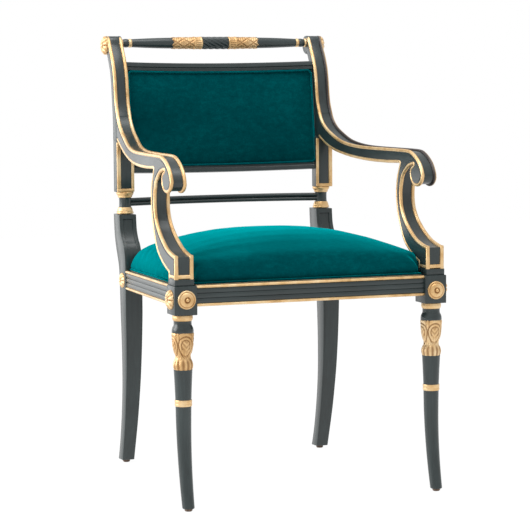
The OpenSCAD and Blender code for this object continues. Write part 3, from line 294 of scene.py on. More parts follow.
# %% Zinc screws and brown glides
zinc_finish = Finish("zinc_screws")
spangle = zinc_finish.noise(140, 3, 0.5)
plated = zinc_finish.ramp(spangle, (0.3, (0.42, 0.42, 0.43)), (0.7, (0.66, 0.66, 0.66)))
zinc_finish.paint(Base_Color=plated, Metallic=1.0, Roughness=(0.28 + spangle * 0.25).clamped())
zinc = zinc_finish.material
glide_finish = Finish("brown_glide")
scuff = glide_finish.noise(170, 3, 0.6)
brown = glide_finish.ramp(scuff, (0.35, (0.09, 0.05, 0.03)), (0.7, (0.2, 0.12, 0.075)))
glide_finish.paint(Base_Color=brown, Roughness=(0.4 + scuff * 0.2).clamped())
glide_finish.bump(scuff, 0.15, 0.0004)
brown_glide = glide_finish.material

# %% [markdown]
# The nodes of the solid model that stay in view take these finishes through their slots.
# Their meshes aren't touched. Most of them are later replaced by a fuller piece, and the
# name of every finish starts with that of its slot.

# %% Finish the solid model's own nodes
slot_finish = {"ebonised_wood": wood_x, "gilt_wood": gilt_wood, "velvet": velvet, "beech": beech,
               "jute": jute, "steel": zinc, "dust_cloth": dust_cloth, "glide": brown_glide}
node_slot = {part["node"]: part["material_slot"] for part in frame["record"]["subparts"]}
for name, solid in frame["nodes"].items():
    for place in solid.material_slots:
        place.material = slot_finish[node_slot[name]]
print(len(node_slot), "nodes finished")

# %% [markdown]
# Most of the chair's lines are flowing curves, so they are drawn as a few chosen points
# with a smooth curve through them, as a maker draws a template. The points are shares of
# the real sizes, seen from the side. Offsetting such a line inwards by a fixed distance
# gives the line on which a bead or the edge of a sunk panel runs.

# %% Smooth lines and their offsets
line_steps, arc_step = 5, 0.35


def smooth(points, steps=line_steps):
    line = []
    for i in range(len(points) - 1):
        a, b = points[max(i - 1, 0)], points[i]
        c, d = points[i + 1], points[min(i + 2, len(points) - 1)]
        for k in range(steps):
            t = k / steps
            line.append(tuple(
                (2 * q + (r - p) * t + (2 * p - 5 * q + 4 * r - s) * t * t
                 + (3 * q - p - 3 * r + s) * t ** 3) / 2 for p, q, r, s in zip(a, b, c, d)))
    return line + [tuple(points[-1])]


def inset_line(line, depth):
    """Moves a line to its right by depth, and goes round sharp outward corners in an arc."""
    moved = []
    for i, (y, z) in enumerate(line):
        before, after = line[max(i - 1, 0)], line[min(i + 1, len(line) - 1)]
        first = atan2(z - before[1], y - before[0]) if i else None
        last = atan2(after[1] - z, after[0] - y) if i < len(line) - 1 else first
        first = last if first is None else first
        turn = (last - first + pi) % (2 * pi) - pi
        outward = turn * depth > 0 and abs(turn) > arc_step
        steps = max(1, round(abs(turn) / arc_step)) if outward else 0
        for k in range(steps + 1):
            heading = first + turn * (k / steps if steps else 0.5)
            reach = depth if steps or abs(turn) > 1.2 else depth / max(cos(turn / 2), 0.5)
            moved.append((y + reach * sin(heading), z - reach * cos(heading)))
    return moved


def split_at_height(line, height):
    for i in range(len(line) - 1):
        (y0, z0), (y1, z1) = line[i], line[i + 1]
        if (z0 - height) * (z1 - height) <= 0 and z0 != z1:
            t = (height - z0) / (z1 - z0)
            joint = (y0 + t * (y1 - y0), height)
            return line[:i + 1] + [joint], [joint] + line[i + 1:]
    return line, []


# %% [markdown]
# The front scroll, the arm and the upright of the back are one continuous line, the
# hallmark of this kind of chair. It starts where the scroll's tip touches the C-shaped
# support, runs round the scroll, back along the arm, up the post and round the top scroll.

# %% Side view of scroll, arm, upright and support
scroll_shares = [
    (0.48, 0.655), (0.83, 0.48), (1.02, 0.17), (0.966, -0.2), (0.69, -0.57), (0.276, -0.76),
    (-0.2, -0.776), (-0.62, -0.64), (-0.9, -0.38), (-1, -0.03), (-0.86, 0.33), (-0.55, 0.74),
    (-0.03, 1.13), (0.655, 1.45)]
arm_shares = [
    (0.22, 0), (0.41, 0.002), (0.6, 0.005), (0.708, 0.019), (0.8, 0.053), (0.873, 0.111),
    (0.934, 0.175), (0.977, 0.253), (1, 0.34)]
upright_shares = [
    (0.105, 0.42), (0.16, 0.5), (0.195, 0.585), (0.235, 0.67), (0.295, 0.755), (0.385, 0.83),
    (0.485, 0.895), (0.6, 0.955)]
upright_back_shares = [
    (0.8, 0.908), (0.68, 0.868), (0.54, 0.815), (0.4, 0.755), (0.29, 0.69), (0.22, 0.62),
    (0.17, 0.54), (0.115, 0.45), (0.06, 0.36), (0.02, 0.266), (0, 0.169)]
under_shares = [
    (0.4, 0), (0.513, 0.001), (0.616, 0.01), (0.719, 0.03), (0.821, 0.065), (0.883, 0.099),
    (0.9425, 0.147), (1, 0.21)]
support_front_shares = [
    (0, 1), (0.307, 0.974), (0.547, 0.923), (0.68, 0.876), (0.787, 0.77), (0.8, 0.675),
    (0.727, 0.579), (0.547, 0.493), (0.307, 0.426), (0.053, 0.371), (-0.28, 0.316),
    (-0.653, 0.282), (-0.939, 0.266)]
support_rear_shares = [
    (0.867, 1), (0.95, 0.94), (1.02, 0.876), (1.08, 0.756), (1.067, 0.636), (0.987, 0.531),
    (0.853, 0.435), (0.68, 0.34), (0.467, 0.258), (0.2, 0.196), (-0.12, 0.141), (-0.413, 0.105)]
crest_points = [(scroll_y + s * scroll_r, scroll_z + t * scroll_r) for s, t in scroll_shares]
tip = crest_points[0]
support_h, support_reach = tip[1] - block_top_z, 75.0
joint_z = block_top_z + 0.876 * support_h
crest_points += [(s * post_y, arm_top_z + t * rise) for s, t in arm_shares]
crest_points += [(post_y + s * (crook_y - post_y), arm_top_z + t * rise)
                 for s, t in upright_shares]
crest_points += [(crook_y + crook_r * cos(radians(a)), crook_z + crook_r * sin(radians(a)))
                 for a in range(148, -112, -15)]
crest_line = smooth(crest_points)
split = (len(scroll_shares) + len(arm_shares) - 1) * line_steps


def support_edge(shares):
    return smooth([(tip[0] + s * support_reach, block_top_z + t * support_h) for s, t in shares])


support_front, support_rear = support_edge(support_front_shares), support_edge(support_rear_shares)
base_front_y, base_rear_y = support_front[-1][0], support_rear[-1][0]
plinth_z, bar_z = 429.0, 437.5
arm_under = smooth([(s * post_y, arm_top_z - arm_t + t * rise) for s, t in under_shares])
# Both edges run from the base block up, so the wood lies right of the outer and left of the inner
outer_edge = [(base_front_y, plinth_z)] + support_front[::-1][:-1] + crest_line
inner_edge = [(base_rear_y, plinth_z)] + support_rear[::-1] + arm_under
print("outer edge", len(outer_edge), "points, inner edge", len(inner_edge))

# %% [markdown]
# Seen from above, the arm runs straight back from the leg and then bends in to the post.
# Seen from the front, the support widens to its base block. Two small functions say where
# the middle of the wood lies and how wide it is, and every bead and slab uses them.

# %% Plan of the arm and width of the support
bend_shares = [
    (0, 0), (0.155, 0), (0.31, 0), (0.45, 0.12), (0.59, 0.32), (0.733, 0.59), (0.866, 0.85),
    (1, 1), (1.15, 1), (1.3, 1)]
arm_plan = smooth([(s * post_y, arm_x - t * (arm_x - upright_x)) for s, t in bend_shares])
widen_shares = [(0.27, 1), (0.33, 0.78), (0.42, 0.4), (0.52, 0.12), (0.62, 0)]
support_half, base_extra, behind_support_y = 16.5, 2.25, 170


def between(table, at):
    if at <= table[0][0]:
        return table[0][1]
    for (a, p), (b, q) in zip(table, table[1:]):
        if at <= b:
            return p + (q - p) * (at - a) / (b - a)
    return table[-1][1]


def middle_x(y):
    return between(arm_plan, y)


def half_width(y, z):
    if y > behind_support_y or z > joint_z + 4:
        return arm_w / 2
    return support_half + base_extra * between(widen_shares, (z - block_top_z) / support_h)


# %% [markdown]
# A slab is cut from a board with its outline as the template: draw the outline as one
# face, extrude it to the board's thickness, and slice it across wherever it has to bend
# or widen. Both hands of the chair are made from the same slab, mirrored.

# %% Helpers for boards and finished pieces
def board(outline, x0, x1, y_cuts=(), z_cuts=()):
    bm = bmesh.new()
    face = bm.faces.new([bm.verts.new((x0, y, z)) for y, z in outline])
    grown = bmesh.ops.extrude_face_region(bm, geom=[face])
    far_side = [v for v in grown["geom"] if isinstance(v, bmesh.types.BMVert)]
    bmesh.ops.translate(bm, vec=(x1 - x0, 0, 0), verts=far_side)
    close(bm)
    cut(bm, [((0, y, 0), (0, 1, 0)) for y in y_cuts] + [((0, 0, z), (0, 0, 1)) for z in z_cuts])
    return bm


def oblong(y0, y1, z0, z1):
    return [(y0, z0), (y1, z0), (y1, z1), (y0, z1)]


def close(bm):
    open_edges = [e for e in bm.edges if e.is_boundary]
    if open_edges:
        bmesh.ops.holes_fill(bm, edges=open_edges, sides=0)
    bmesh.ops.recalc_face_normals(bm, faces=bm.faces)


def cut(bm, planes, clear=False):
    for place, facing in planes:
        bmesh.ops.bisect_plane(bm, geom=bm.verts[:] + bm.edges[:] + bm.faces[:], dist=1e-5,
                               plane_co=place, plane_no=facing, clear_outer=clear)
        if clear:
            close(bm)


def cut_across(bm, places):
    cut(bm, [((x, 0, 0), (1, 0, 0)) for x in places])


def sealed(bm):
    bmesh.ops.remove_doubles(bm, verts=bm.verts, dist=1e-4)
    close(bm)
    return bm


def sharp_edges(bm, degrees):
    return [e for e in bm.edges if e.is_manifold and e.calc_face_angle(0) > radians(degrees)]


def bevel(bm, edges, width, segments=2):
    bmesh.ops.bevel(bm, geom=edges, offset=width, offset_type="OFFSET", affect="EDGES",
                    segments=segments, profile=0.5, material=-1, clamp_overlap=True)


def soften(bm, width, segments=2):
    bevel(bm, sharp_edges(bm, 35), width, segments)


def join(target, source):
    held = bpy.data.meshes.new("held")
    source.to_mesh(held)
    source.free()
    target.from_mesh(held)
    bpy.data.meshes.remove(held)


def finish_piece(name, bm, material, replaced=(), round_to=38, mirrored=False):
    bmesh.ops.remove_doubles(bm, verts=bm.verts, dist=1e-4)
    if mirrored:
        bmesh.ops.scale(bm, vec=(-1, 1, 1), verts=bm.verts)
    bmesh.ops.recalc_face_normals(bm, faces=bm.faces)
    bmesh.ops.translate(bm, vec=(0, -middle_y, 0), verts=bm.verts)
    bmesh.ops.scale(bm, vec=(MM, MM, MM), verts=bm.verts)
    mesh = bpy.data.meshes.new(name)
    bm.to_mesh(mesh)
    bm.free()
    mesh.materials.append(material)
    mesh.shade_smooth()
    mesh.set_sharp_from_angle(angle=radians(round_to))
    piece = linked(name, mesh)
    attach(piece, "root")
    if replaced:
        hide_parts(*replaced)
    return piece


def both_hands(name, bm, material, replaced="", round_to=38):
    twin = bm.copy()
    for side, half in (("right", bm), ("left", twin)):
        nodes = (f"{replaced}_{side}",) if replaced else ()
        piece = finish_piece(f"{name}_{side}", half, material, nodes, round_to, side == "left")
    print(name, "both hands,", len(piece.data.polygons), "faces each")


# %% [markdown]
# A gilt bead is a thin rod let into the corner of the wood, so that it shows round from
# above and from the side. It is drawn as a poly curve with a round bevel, because the
# curve tool keeps the rod's thickness along every bend, and is then made a mesh.

# %% Beads
def bead(points, radii, sides=5, cyclic=False):
    curve = bpy.data.curves.new("bead", "CURVE")
    curve.dimensions = "3D"
    curve.bevel_depth = 1
    curve.bevel_resolution = sides
    curve.use_fill_caps = True
    line = curve.splines.new("POLY")
    line.points.add(len(points) - 1)
    line.use_cyclic_u = cyclic
    for i, (spot, place) in enumerate(zip(line.points, points)):
        spot.co = (*place, 1)
        spot.radius = radii[i] if isinstance(radii, (list, tuple)) else radii
    holder = linked("bead", curve)
    bpy.context.view_layer.update()
    graph = bpy.context.evaluated_depsgraph_get()
    mesh = bpy.data.meshes.new_from_object(holder.evaluated_get(graph))
    bm = bmesh.new()
    bm.from_mesh(mesh)
    bpy.data.objects.remove(holder)
    bpy.data.curves.remove(curve)
    bpy.data.meshes.remove(mesh)
    return sealed(bm)


# %% [markdown]
# Arm and support are sawn to the template, with the faces between the beads sunk: four
# millimetres for the channel on top, two underneath and one at the sides. Two thin raised
# panels would be joinery; here the board is narrower and a slightly wider panel lies on it,
# so a fine shadow line runs beside every bead.

# %% Arms and supports
under_sink, panel_inset = 2.2, 8.6
slab_half, panel_half = 15.0, 15.5
wood_out = inset_line(outer_edge, channel_d)
wood_in = inset_line(inner_edge, -under_sink)
lower_out, upper_out = split_at_height(wood_out, joint_z)
lower_in, upper_in = split_at_height(wood_in, joint_z)
bend_cuts = range(130, 487, 9)


def up_to_post(line):
    kept = [p for p in line if p[0] < post_y]
    (y0, z0), (y1, z1) = kept[-1], line[len(kept)]
    return kept + [(post_y, z0 + (z1 - z0) * (post_y - y0) / (y1 - y0))]


def bent(bm):
    for v in bm.verts:
        v.co.x = v.co.x * half_width(v.co.y, v.co.z) / (arm_w / 2) + middle_x(v.co.y)
    return bm


arm_outline = up_to_post(upper_out) + [(post_y, wood_in[-1][1])] + upper_in[::-1]
support_outline = ([(base_front_y + channel_d, plinth_z)] + lower_out[1:]
                   + lower_in[1:][::-1] + [(base_rear_y - under_sink, plinth_z)])
arm_wood = bent(board(arm_outline, -slab_half, slab_half, bend_cuts))
support_wood = bent(board(support_outline, -slab_half, slab_half, (), range(432, 598, 12)))

# %% The flat panels on their sides
panel_out = inset_line(outer_edge, panel_inset)
panel_in = inset_line(inner_edge, -panel_inset)
low_out, high_out = split_at_height(panel_out, joint_z)
low_in, high_in = split_at_height(panel_in, joint_z)
arm_panel = up_to_post(high_out) + [(post_y, panel_in[-1][1])] + high_in[::-1]
join(arm_wood, bent(board(arm_panel, -panel_half, panel_half, bend_cuts)))
low_out, low_in = (split_at_height(line, bar_z + 1.5)[1] for line in (low_out, low_in))
support_panel = board(low_out + low_in[::-1], -panel_half, panel_half, (), range(444, 598, 12))
join(support_wood, bent(support_panel))
both_hands("arm_wood", arm_wood, wood_y, "arm")

# %% [markdown]
# The support stands on a plain plinth. Its base block has a gilt frame at the left, right
# and bottom of a dark panel, and the channel of the support flows out of that panel.

# %% Plinth
plinth_half = 18.75
plinth = board(oblong(base_front_y - 0.6, base_rear_y, block_top_z, plinth_z),
               arm_x - plinth_half, arm_x + plinth_half)
soften(plinth, 1.0)
join(support_wood, plinth)
both_hands("support_wood", support_wood, wood_z, "arm_support")

# %% Gilt beads of support, arm and upright
bead_r, foot_extra, foot_top_z, foot_rear_y = 3.5, 0.7, 480, 60


def front_bead(edge, side):
    line = inset_line(edge, bead_r)
    radii = [bead_r + foot_extra * unit((foot_top_z - z) / 20) * (y < foot_rear_y)
             for y, z in line]
    return bead([(middle_x(y) + side * (half_width(y, z) - r), y, z)
                 for (y, z), r in zip(line, radii)], radii)


gold_top_z = crook_z + 0.84 * crook_r
end_of_gold = next(i for i in range(split, len(outer_edge)) if outer_edge[i][1] > gold_top_z)
gilding = front_bead(outer_edge[:end_of_gold + 1], -1)
inner_line = inset_line(inner_edge, -bead_r)
for side in (1, -1):
    points = [(middle_x(y) + side * (half_width(y, z) - bead_r), y, z) for y, z in inner_line]
    join(gilding, bead(points, bead_r))
bar_mid, bar_r = (plinth_z + bar_z) / 2, (bar_z - plinth_z) / 2
bar_front, bar_rear = base_front_y + bar_r, base_rear_y - bar_r
bar_half = 18.4
bar_ends = (arm_x - bar_half + bar_r, arm_x + bar_half - bar_r)
for y in (bar_front, bar_rear):
    join(gilding, bead([(x, y, bar_mid) for x in bar_ends], bar_r))
for x in (arm_x - plinth_half + bar_r, arm_x + plinth_half - bar_r):
    join(gilding, bead([(x, y, bar_mid) for y in (bar_front, bar_rear)], bar_r))
both_hands("arm_gilding", gilding, gilt_wood)

# %% [markdown]
# The two arms weren't kept alike: on the right-hand one the outer bead along the arm and
# scroll is dark, without gold, except for a thin line left on its outward side.

# %% Outer beads
finish_piece("outer_bead_left", front_bead(outer_edge, 1), gilt_wood, mirrored=True)
# The right outer bead is made dark wherever it doesn't face outwards.
dark_outer_bead = front_bead(outer_edge, 1)
dark_outer_bead.normal_update()
layer = dark_outer_bead.verts.layers.float.new("bare")
for v in dark_outer_bead.verts:
    on_arm = v.co.z > scroll_z - 40 and (v.co.y < tip[0] + 22 or v.co.z > tip[1])
    v[layer] = unit((0.4 - v.normal.x) / 0.3) if on_arm else 0
finish_piece("outer_bead_right", dark_outer_bead, gilt_wood)

# %% [markdown]
# The upright is one piece with the rear leg on the real chair. Its front carries the same
# channel and beads as the arm, and the channel runs out at the top of the scroll. Its back
# is plain, and its lower part is a square post with a sunk panel between gilt bars. A
# turned neck with two gilt rings joins it to the block.

# %% Upright and post
meeting = up_to_post(upper_out)[-1]
upright_back = smooth([(post_y + post_d + s * (crook_y - post_y - post_d), arm_top_z + t * rise)
                       for s, t in upright_back_shares])
narrow_z = arm_under[-1][1]


def run_out(y, z):
    away = Vector((y - crook_y, z - crook_z)).normalized()
    lift = (channel_d - 0.5) * unit((z - crook_z) / (0.7 * crook_r))
    return y + away.x * lift, z + away.y * lift


upright_half = 15.6
upright_front = [run_out(y, z) for y, z in upper_out if y > post_y + 0.1]
upright = board([(post_y + 0.02, narrow_z), (post_y + 0.02, meeting[1])] + upright_front
                + upright_back + [(post_y + post_d, narrow_z)],
                upright_x - upright_half, upright_x + upright_half)
soften(upright, 0.7)
post = board(oblong(post_y + 1.2, post_y + post_d, post_z, narrow_z),
             post_out_x - post_w + 0.4, post_out_x - 0.4)
soften(post, 0.9)
join(upright, post)
join(upright, front_bead(outer_edge[end_of_gold:], -1))

# %% [markdown]
# The rear leg is a sabre leg: sawn to a curve in side view and tapered to the foot in
# front view. A sunk panel with a crisp edge is worked into the front of its block.

# %% Rear legs
rear_front_shares = [
    (0.69, 1), (0.655, 0.965), (0.59, 0.935), (0.42, 0.905), (0.23, 0.885), (0.1, 0.86),
    (0.02, 0.82), (0, 0.77), (0, 0.66), (0.01, 0.58), (0.045, 0.5), (0.1, 0.43), (0.19, 0.35),
    (0.34, 0.265), (0.52, 0.18), (0.77, 0.09), (1, 0.012)]
rear_back_shares = [
    (0.69, 1), (0.655, 0.955), (0.57, 0.905), (0.42, 0.865), (0.25, 0.83), (0.1, 0.795),
    (0.03, 0.75), (0, 0.69), (-0.02, 0.6), (-0.01, 0.5), (0.03, 0.42), (0.1, 0.34), (0.23, 0.26),
    (0.43, 0.175), (0.7, 0.085), (1, 0.009)]


rear_foot_d, rear_growth = 30, 11


def rear_edge(shares, deep):
    thick = [(rear_foot_d + rear_growth * min(t / 0.7, 1)) * deep for s, t in shares]
    return smooth([(seat_depth + s * rear_kick + more, t * rear_block_top_z)
                   for (s, t), more in zip(shares, thick)])


panel_side, panel_low_z, panel_high_z, taper_z = 10.5, 450, 508, 320
leg_outline = rear_edge(rear_front_shares, 0) + rear_edge(rear_back_shares, 1)[::-1]
rear_leg = board(leg_outline, rear_x - rear_leg_w / 2, rear_x + rear_leg_w / 2, (),
                 [40, 90, 140, 190, 240, 290, taper_z, panel_low_z, panel_high_z])
cut_across(rear_leg, (rear_x - panel_side, rear_x + panel_side))
middles = [(f, f.calc_center_median()) for f in rear_leg.faces if f.normal.y < -0.3]
sunk = [f for f, at in middles
        if abs(at.x - rear_x) < panel_side and panel_low_z < at.z < panel_high_z]
bmesh.ops.inset_region(rear_leg, faces=sunk, thickness=1.3, depth=-2.4, use_even_offset=True)
for v in rear_leg.verts:
    narrowing = 1 - (1 - rear_foot_w / rear_leg_w) * max(1 - v.co.z / taper_z, 0)
    v.co.x = rear_x + (v.co.x - rear_x) * narrowing
long_edges = [e for e in sharp_edges(rear_leg, 50)
              if all(abs(abs(v.co.x - rear_x) - panel_side) > 1.5 for v in e.verts)]
bevel(rear_leg, long_edges, 1.1)
join(upright, rear_leg)

# %% [markdown]
# Turned parts come off a lathe: a profile of radius and height is spun a full turn. The
# same helper makes necks, rings, legs, the crest rail and the discs of the rosettes.

# %% Lathe
def turned(profile, steps=72):
    bm = bmesh.new()
    verts = [bm.verts.new((max(r, 0), 0, h)) for r, h in profile]
    edges = [bm.edges.new(pair) for pair in zip(verts, verts[1:])]
    bmesh.ops.spin(bm, geom=verts + edges, cent=(0, 0, 0), axis=(0, 0, 1), angle=2 * pi,
                   steps=steps, use_merge=True)
    return sealed(bm)


def placed(bm, spot, towards="z"):
    turn = {"z": Matrix(), "x": Matrix.Rotation(pi / 2, 4, "Y"),
            "-y": Matrix.Rotation(pi / 2, 4, "X")}[towards]
    bmesh.ops.transform(bm, matrix=Matrix.Translation(spot) @ turn, verts=bm.verts)
    return bm


def add_ring(target, profile, spot, towards="z"):
    join(target, placed(turned(profile + [profile[0]]), spot, towards))


def profile_rows(points, step):
    rows = []
    for (r0, z0), (r1, z1) in zip(points, points[1:]):
        count = max(1, round(abs(z1 - z0) / step))
        rows += [(r0 + (r1 - r0) * k / count, z0 + (z1 - z0) * k / count) for k in range(count)]
    return rows + [points[-1]]


# %% Turned neck and its rings
neck = [
    (0, 514), (12.6, 514), (12.6, 531), (12.2, 534), (12, 538), (12, 546), (12.3, 550), (13, 553),
    (13, 564), (0, 564)]
join(upright, placed(turned(neck), (rear_x, neck_y, 0)))
both_hands("rear_post_wood", upright, wood_z, "rear_post")
rings = bmesh.new()
bell = [
    (16.9, 518.3), (17.5, 519.2), (17.6, 520.6), (17.1, 522), (16, 522.9), (16.2, 524),
    (15.9, 525.6), (15, 528), (14, 530.4), (13.2, 531.6)]
cup = [
    (13.4, 551.2), (14.3, 551.8), (14.8, 553), (14.6, 554.2), (15.2, 555.2), (16.5, 557),
    (17.6, 558.8), (18, 560.6), (17.8, 562.2), (17, 562.9)]
core_r = 11.4
for line in (bell, cup):
    section = [(core_r, line[0][1])] + smooth(line, 3) + [(core_r, line[-1][1])]
    add_ring(rings, section, (rear_x, neck_y, 0))

# %% Gilt bars of the post
def bar(x0, x1, z0, z1, face_y, proud):
    strip = board([(face_y + proud, z0), (face_y + proud, z1), (face_y, z1), (face_y, z0)], x0, x1)
    soften(strip, min(proud * 0.75, 1.5), 3)
    return strip


bar_foot, bar_top = post_z + 0.4, narrow_z - 3
post_left, post_right = post_out_x - post_w, post_out_x
for x0, x1 in ((post_left + 0.2, post_left + 6.4), (post_right - 8.5, post_right - 0.2)):
    join(rings, bar(x0, x1, bar_foot, bar_top, post_y - 0.2, 3.2))
join(rings, bar(post_left + 0.3, post_right - 0.3, post_z + 0.2, post_z + 7, post_y - 0.6, 3.4))
both_hands("rear_post_gilding", rings, gilt_wood)

# %% [markdown]
# The front leg hangs from a square block: gilt ring, dark neck, a carved and gilt vase, a
# dark shaft with a gilt band, and a foot that curves forward. The shaft is turned straight
# and its lower half is then pushed forward along the curve, as if it had been bent.

# %% Front leg
foot_kick, curl_z = 24.0, 174.2


def kicked(z):
    return foot_kick * (max(curl_z - z, 0) / (curl_z - 5)) ** 2


shaft = [
    (0, 5), (10.6, 5), (11.5, 6), (11.6, 12), (12.4, 60), (13.3, 110), (14.3, 160), (14.8, 192),
    (15, 205), (16.2, 236), (17.3, 258), (17.6, 261), (16, 262), (12, 280), (12, 286), (14.5, 297),
    (17.6, 318), (19, 328), (20.3, 330), (20.4, 332.5), (20, 336), (19.2, 339), (17.4, 342.2),
    (16.7, 344.2), (16.6, 350), (16.8, 352), (16.8, 364), (0, 364)]
front_leg = turned(profile_rows(shaft, 9), 64)
for v in front_leg.verts:
    v.co.y -= kicked(v.co.z)
leg_spot = (front_x, leg_y, 0)
placed(front_leg, leg_spot)
block_depth = block_w + 3
block = board(oblong(0, block_depth, block_z, block_top_z), front_x - block_w / 2,
              front_x + block_w / 2)
soften(block, 1.0)
join(front_leg, block)
both_hands("front_leg_wood", front_leg, wood_z, "front_leg", round_to=32)

# %% [markdown]
# The vase is carved with four round-topped leaves that face the front, the back and the
# sides, each with a horseshoe rib and slanting veins, and with a fluted skirt below. On a
# lathe-turned form, carving is a pattern of heights over angle and height, so the spun
# surface is moved in and out by a formula, and the depth of each groove is kept as the
# hollow attribute, which the gilding paints darker as dust and painted shade.

# %% Carving helper
def carved(bm, relief, depth):
    """relief(angle, height) gives -1 in a groove to 1 on a ridge; the surface moves by depth."""
    layer = bm.verts.layers.float.new("hollow")
    for v in bm.verts:
        r = hypot(v.co.x, v.co.y)
        if r < 1:
            continue
        rise_here = relief(atan2(v.co.y, v.co.x), v.co.z)
        k = 1 + depth * rise_here / r
        v.co.x, v.co.y = v.co.x * k, v.co.y * k
        # The hollow value marks grooves, which the gilding paints darker as dust and painted
        # shade.
        v[layer] = unit(0.5 - rise_here * 0.75)
    return bm


def hump(value, width):
    return exp(-(value / width) ** 2)


# %% Carved vase
skirt_z, leaf_z = 282, 308


def vase_relief(angle, z):
    quarter = (angle + pi / 2) / (pi / 2)
    across = (quarter - floor(quarter + 0.5)) * 2
    if z < skirt_z:
        flute = abs(cos((angle + pi / 2) * 6))
        deep = min((skirt_z - z) / 6, 1) if z > 263 else max((z - 260) / 3, 0)
        return (1.7 * flute ** 1.6 - 1.0) * deep + 0.5 * (1 - deep)
    oval = sqrt((across / 0.93) ** 2 + ((z - leaf_z) / (15.5 if z > leaf_z else 23)) ** 2)
    strands = 0.35 * cos((angle + pi / 2) * 20)
    if oval > 1.08:
        tip = hump(abs(across) - 1, 0.22) * hump(z - 322, 9)
        low = unit((296 - z) / 10)
        groove = 1.2 * hump(abs(across) - 0.8, 0.06) * (z > 316)
        return 0.35 + 0.5 * hump(oval - 1.3, 0.16) + 0.3 * tip - groove + strands * low
    line = hump(oval - 1, 0.07) + 0.9 * hump(oval - 0.6, 0.06) * (z > 300)
    veins = cos(2 * pi * ((z - leaf_z) / 9.5 - abs(across + 0.08) * 1.9))
    inside = 0.55 * veins * unit((0.62 - oval) / 0.1)
    low = unit((300 - z) / 8)
    return (0.3 - 1.5 * min(line, 1) + inside * (1 - low) + strands * low
            + 0.4 * hump(oval - 0.8, 0.08))


vase_profile = [
    (12, 259.6), (16, 259.8), (16.9, 260.6), (17.2, 262), (18, 264.5), (18.6, 269), (18.1, 273),
    (16.8, 277), (14.9, 280.5), (13.8, 283.5), (14, 287), (15.3, 291), (17.2, 296), (18.4, 301),
    (19.2, 308), (19.8, 315), (20.2, 321), (20.3, 326), (19.9, 328.8), (18.5, 330.3), (14, 330.5)]
vase_line = smooth(vase_profile, 6)
vase = carved(turned(vase_line + [vase_line[0]], 200), vase_relief, 0.85)
placed(vase, leg_spot)

# %% Gilt ring and band of the front leg
ring_profile = [
    (14, 351.4), (17, 351.6), (18, 352.6), (18.8, 354.6), (19.3, 357.2), (19.2, 358.8),
    (18.7, 360), (18.9, 361), (18.6, 362), (17.6, 362.8), (14, 363)]
band_profile = [
    (13, 192.6), (15.6, 192.8), (16.2, 194.4), (16.3, 196.6), (15.7, 198.2), (15.9, 199),
    (16.2, 200.6), (16.3, 202.8), (15.8, 204.6), (13, 204.8)]
for profile in (ring_profile, band_profile):
    add_ring(vase, profile, leg_spot)
both_hands("front_leg_gilding", vase, gilt_wood, round_to=50)

# %% [markdown]
# The seat rails are reeded: three dark half-round reeds between two gilt beads. Such a
# moulding is one section run along the rail, so the section is drawn from half circles and
# extruded. The beads are a board of their own, so that they take the gilding.

# %% Reeded rails
def half_round(low, high, face, proud):
    return [(face - proud * sin(radians(a)), low + (high - low) * (1 - cos(radians(a))) / 2)
            for a in range(0, 181, 18)]


bead_h, reed_h, rail_face_y = 5.4, 9.4, 5
reed_root, reed_proud, bead_proud = 3, 2, 3.2
reeds = [half_round(bead_h + i * reed_h, bead_h + (i + 1) * reed_h, reed_root, reed_proud)
         for i in range(3)]
rail_section = [(reed_root, 0)] + sum(reeds, []) + [
    (reed_root, rail_h), (lip_w, rail_h), (lip_w, rail_h - rebate_d),
    (rail_t, rail_h - rebate_d), (rail_t, 0)]
bead_sections = [
    half_round(low, low + bead_h, bead_proud, bead_proud) + [(4.5, low + bead_h), (4.5, low)]
    for low in (0.05, rail_h - bead_h - 0.05)]


def run_along_x(section, x0, x1):
    return board([(rail_face_y + p, rail_z + z) for p, z in section], x0, x1)


front_x_in = front_x - block_w / 2
front_rail = run_along_x(rail_section, -front_x_in, front_x_in)
finish_piece("front_rail_wood", front_rail, wood_x, ("front_seat_rail",))
front_beads = bmesh.new()
for section in bead_sections:
    join(front_beads, run_along_x(section, -front_x_in, front_x_in))
finish_piece("front_rail_gilding", front_beads, gilt_wood)

# %% Side rails, which run inwards and fall to the back
move, rotate = Matrix.Translation, Matrix.Rotation
side_taper, side_inset = 35, 4
side_angle = atan(side_taper / (seat_depth - block_w))
fall_angle = atan(seat_fall / (seat_depth - block_w))
falling = (move((0, block_w, block_top_z)) @ rotate(-fall_angle, 4, "X")
           @ move((0, -block_w, -block_top_z)))
along_side = (falling @ move((front_x + block_w / 2 - side_inset, block_w, rail_z))
              @ rotate(side_angle, 4, "Z") @ move((0, -block_w, 0)) @ rotate(pi / 2, 4, "Z"))


def side_run(section):
    bm = board(section, 0, seat_depth + block_w)
    bmesh.ops.transform(bm, matrix=along_side, verts=bm.verts)
    cut(bm, [((0, seat_depth, 0), (0, 1, 0)), ((0, block_w, 0), (0, -1, 0))], clear=True)
    return bm


both_hands("side_rail_wood", side_run(rail_section), wood_y, "side_seat_rail")
side_beads = bmesh.new()
for section in bead_sections:
    join(side_beads, side_run(section))
both_hands("side_rail_gilding", side_beads, gilt_wood)
rear_rail_half, rear_rail_top_z = 198.4, 405
rear_rail = board(oblong(451, 475, rail_z, rear_rail_top_z), -rear_rail_half, rear_rail_half)
soften(rear_rail, 0.9)
bmesh.ops.transform(rear_rail, matrix=falling, verts=rear_rail.verts)
finish_piece("rear_rail_wood", rear_rail, wood_x, ("rear_seat_rail",))

# %% [markdown]
# The back is a moulded frame bent to a shallow bow and raked between the posts. Each
# member is a straight moulding first; then its depth is bent along the bow and the whole
# frame is tilted, just as the real rails are sawn to the curve.

# %% Bow and rake of the back
back_half, back_half_wide, back_bow = 199.7, 204.7, 28.0
back_y, back_z, back_h, bow_step = 492.0, 602.0, 227.5, 14
bow_r = (back_half ** 2 + back_bow ** 2) / (2 * back_bow)
rake = radians(7)


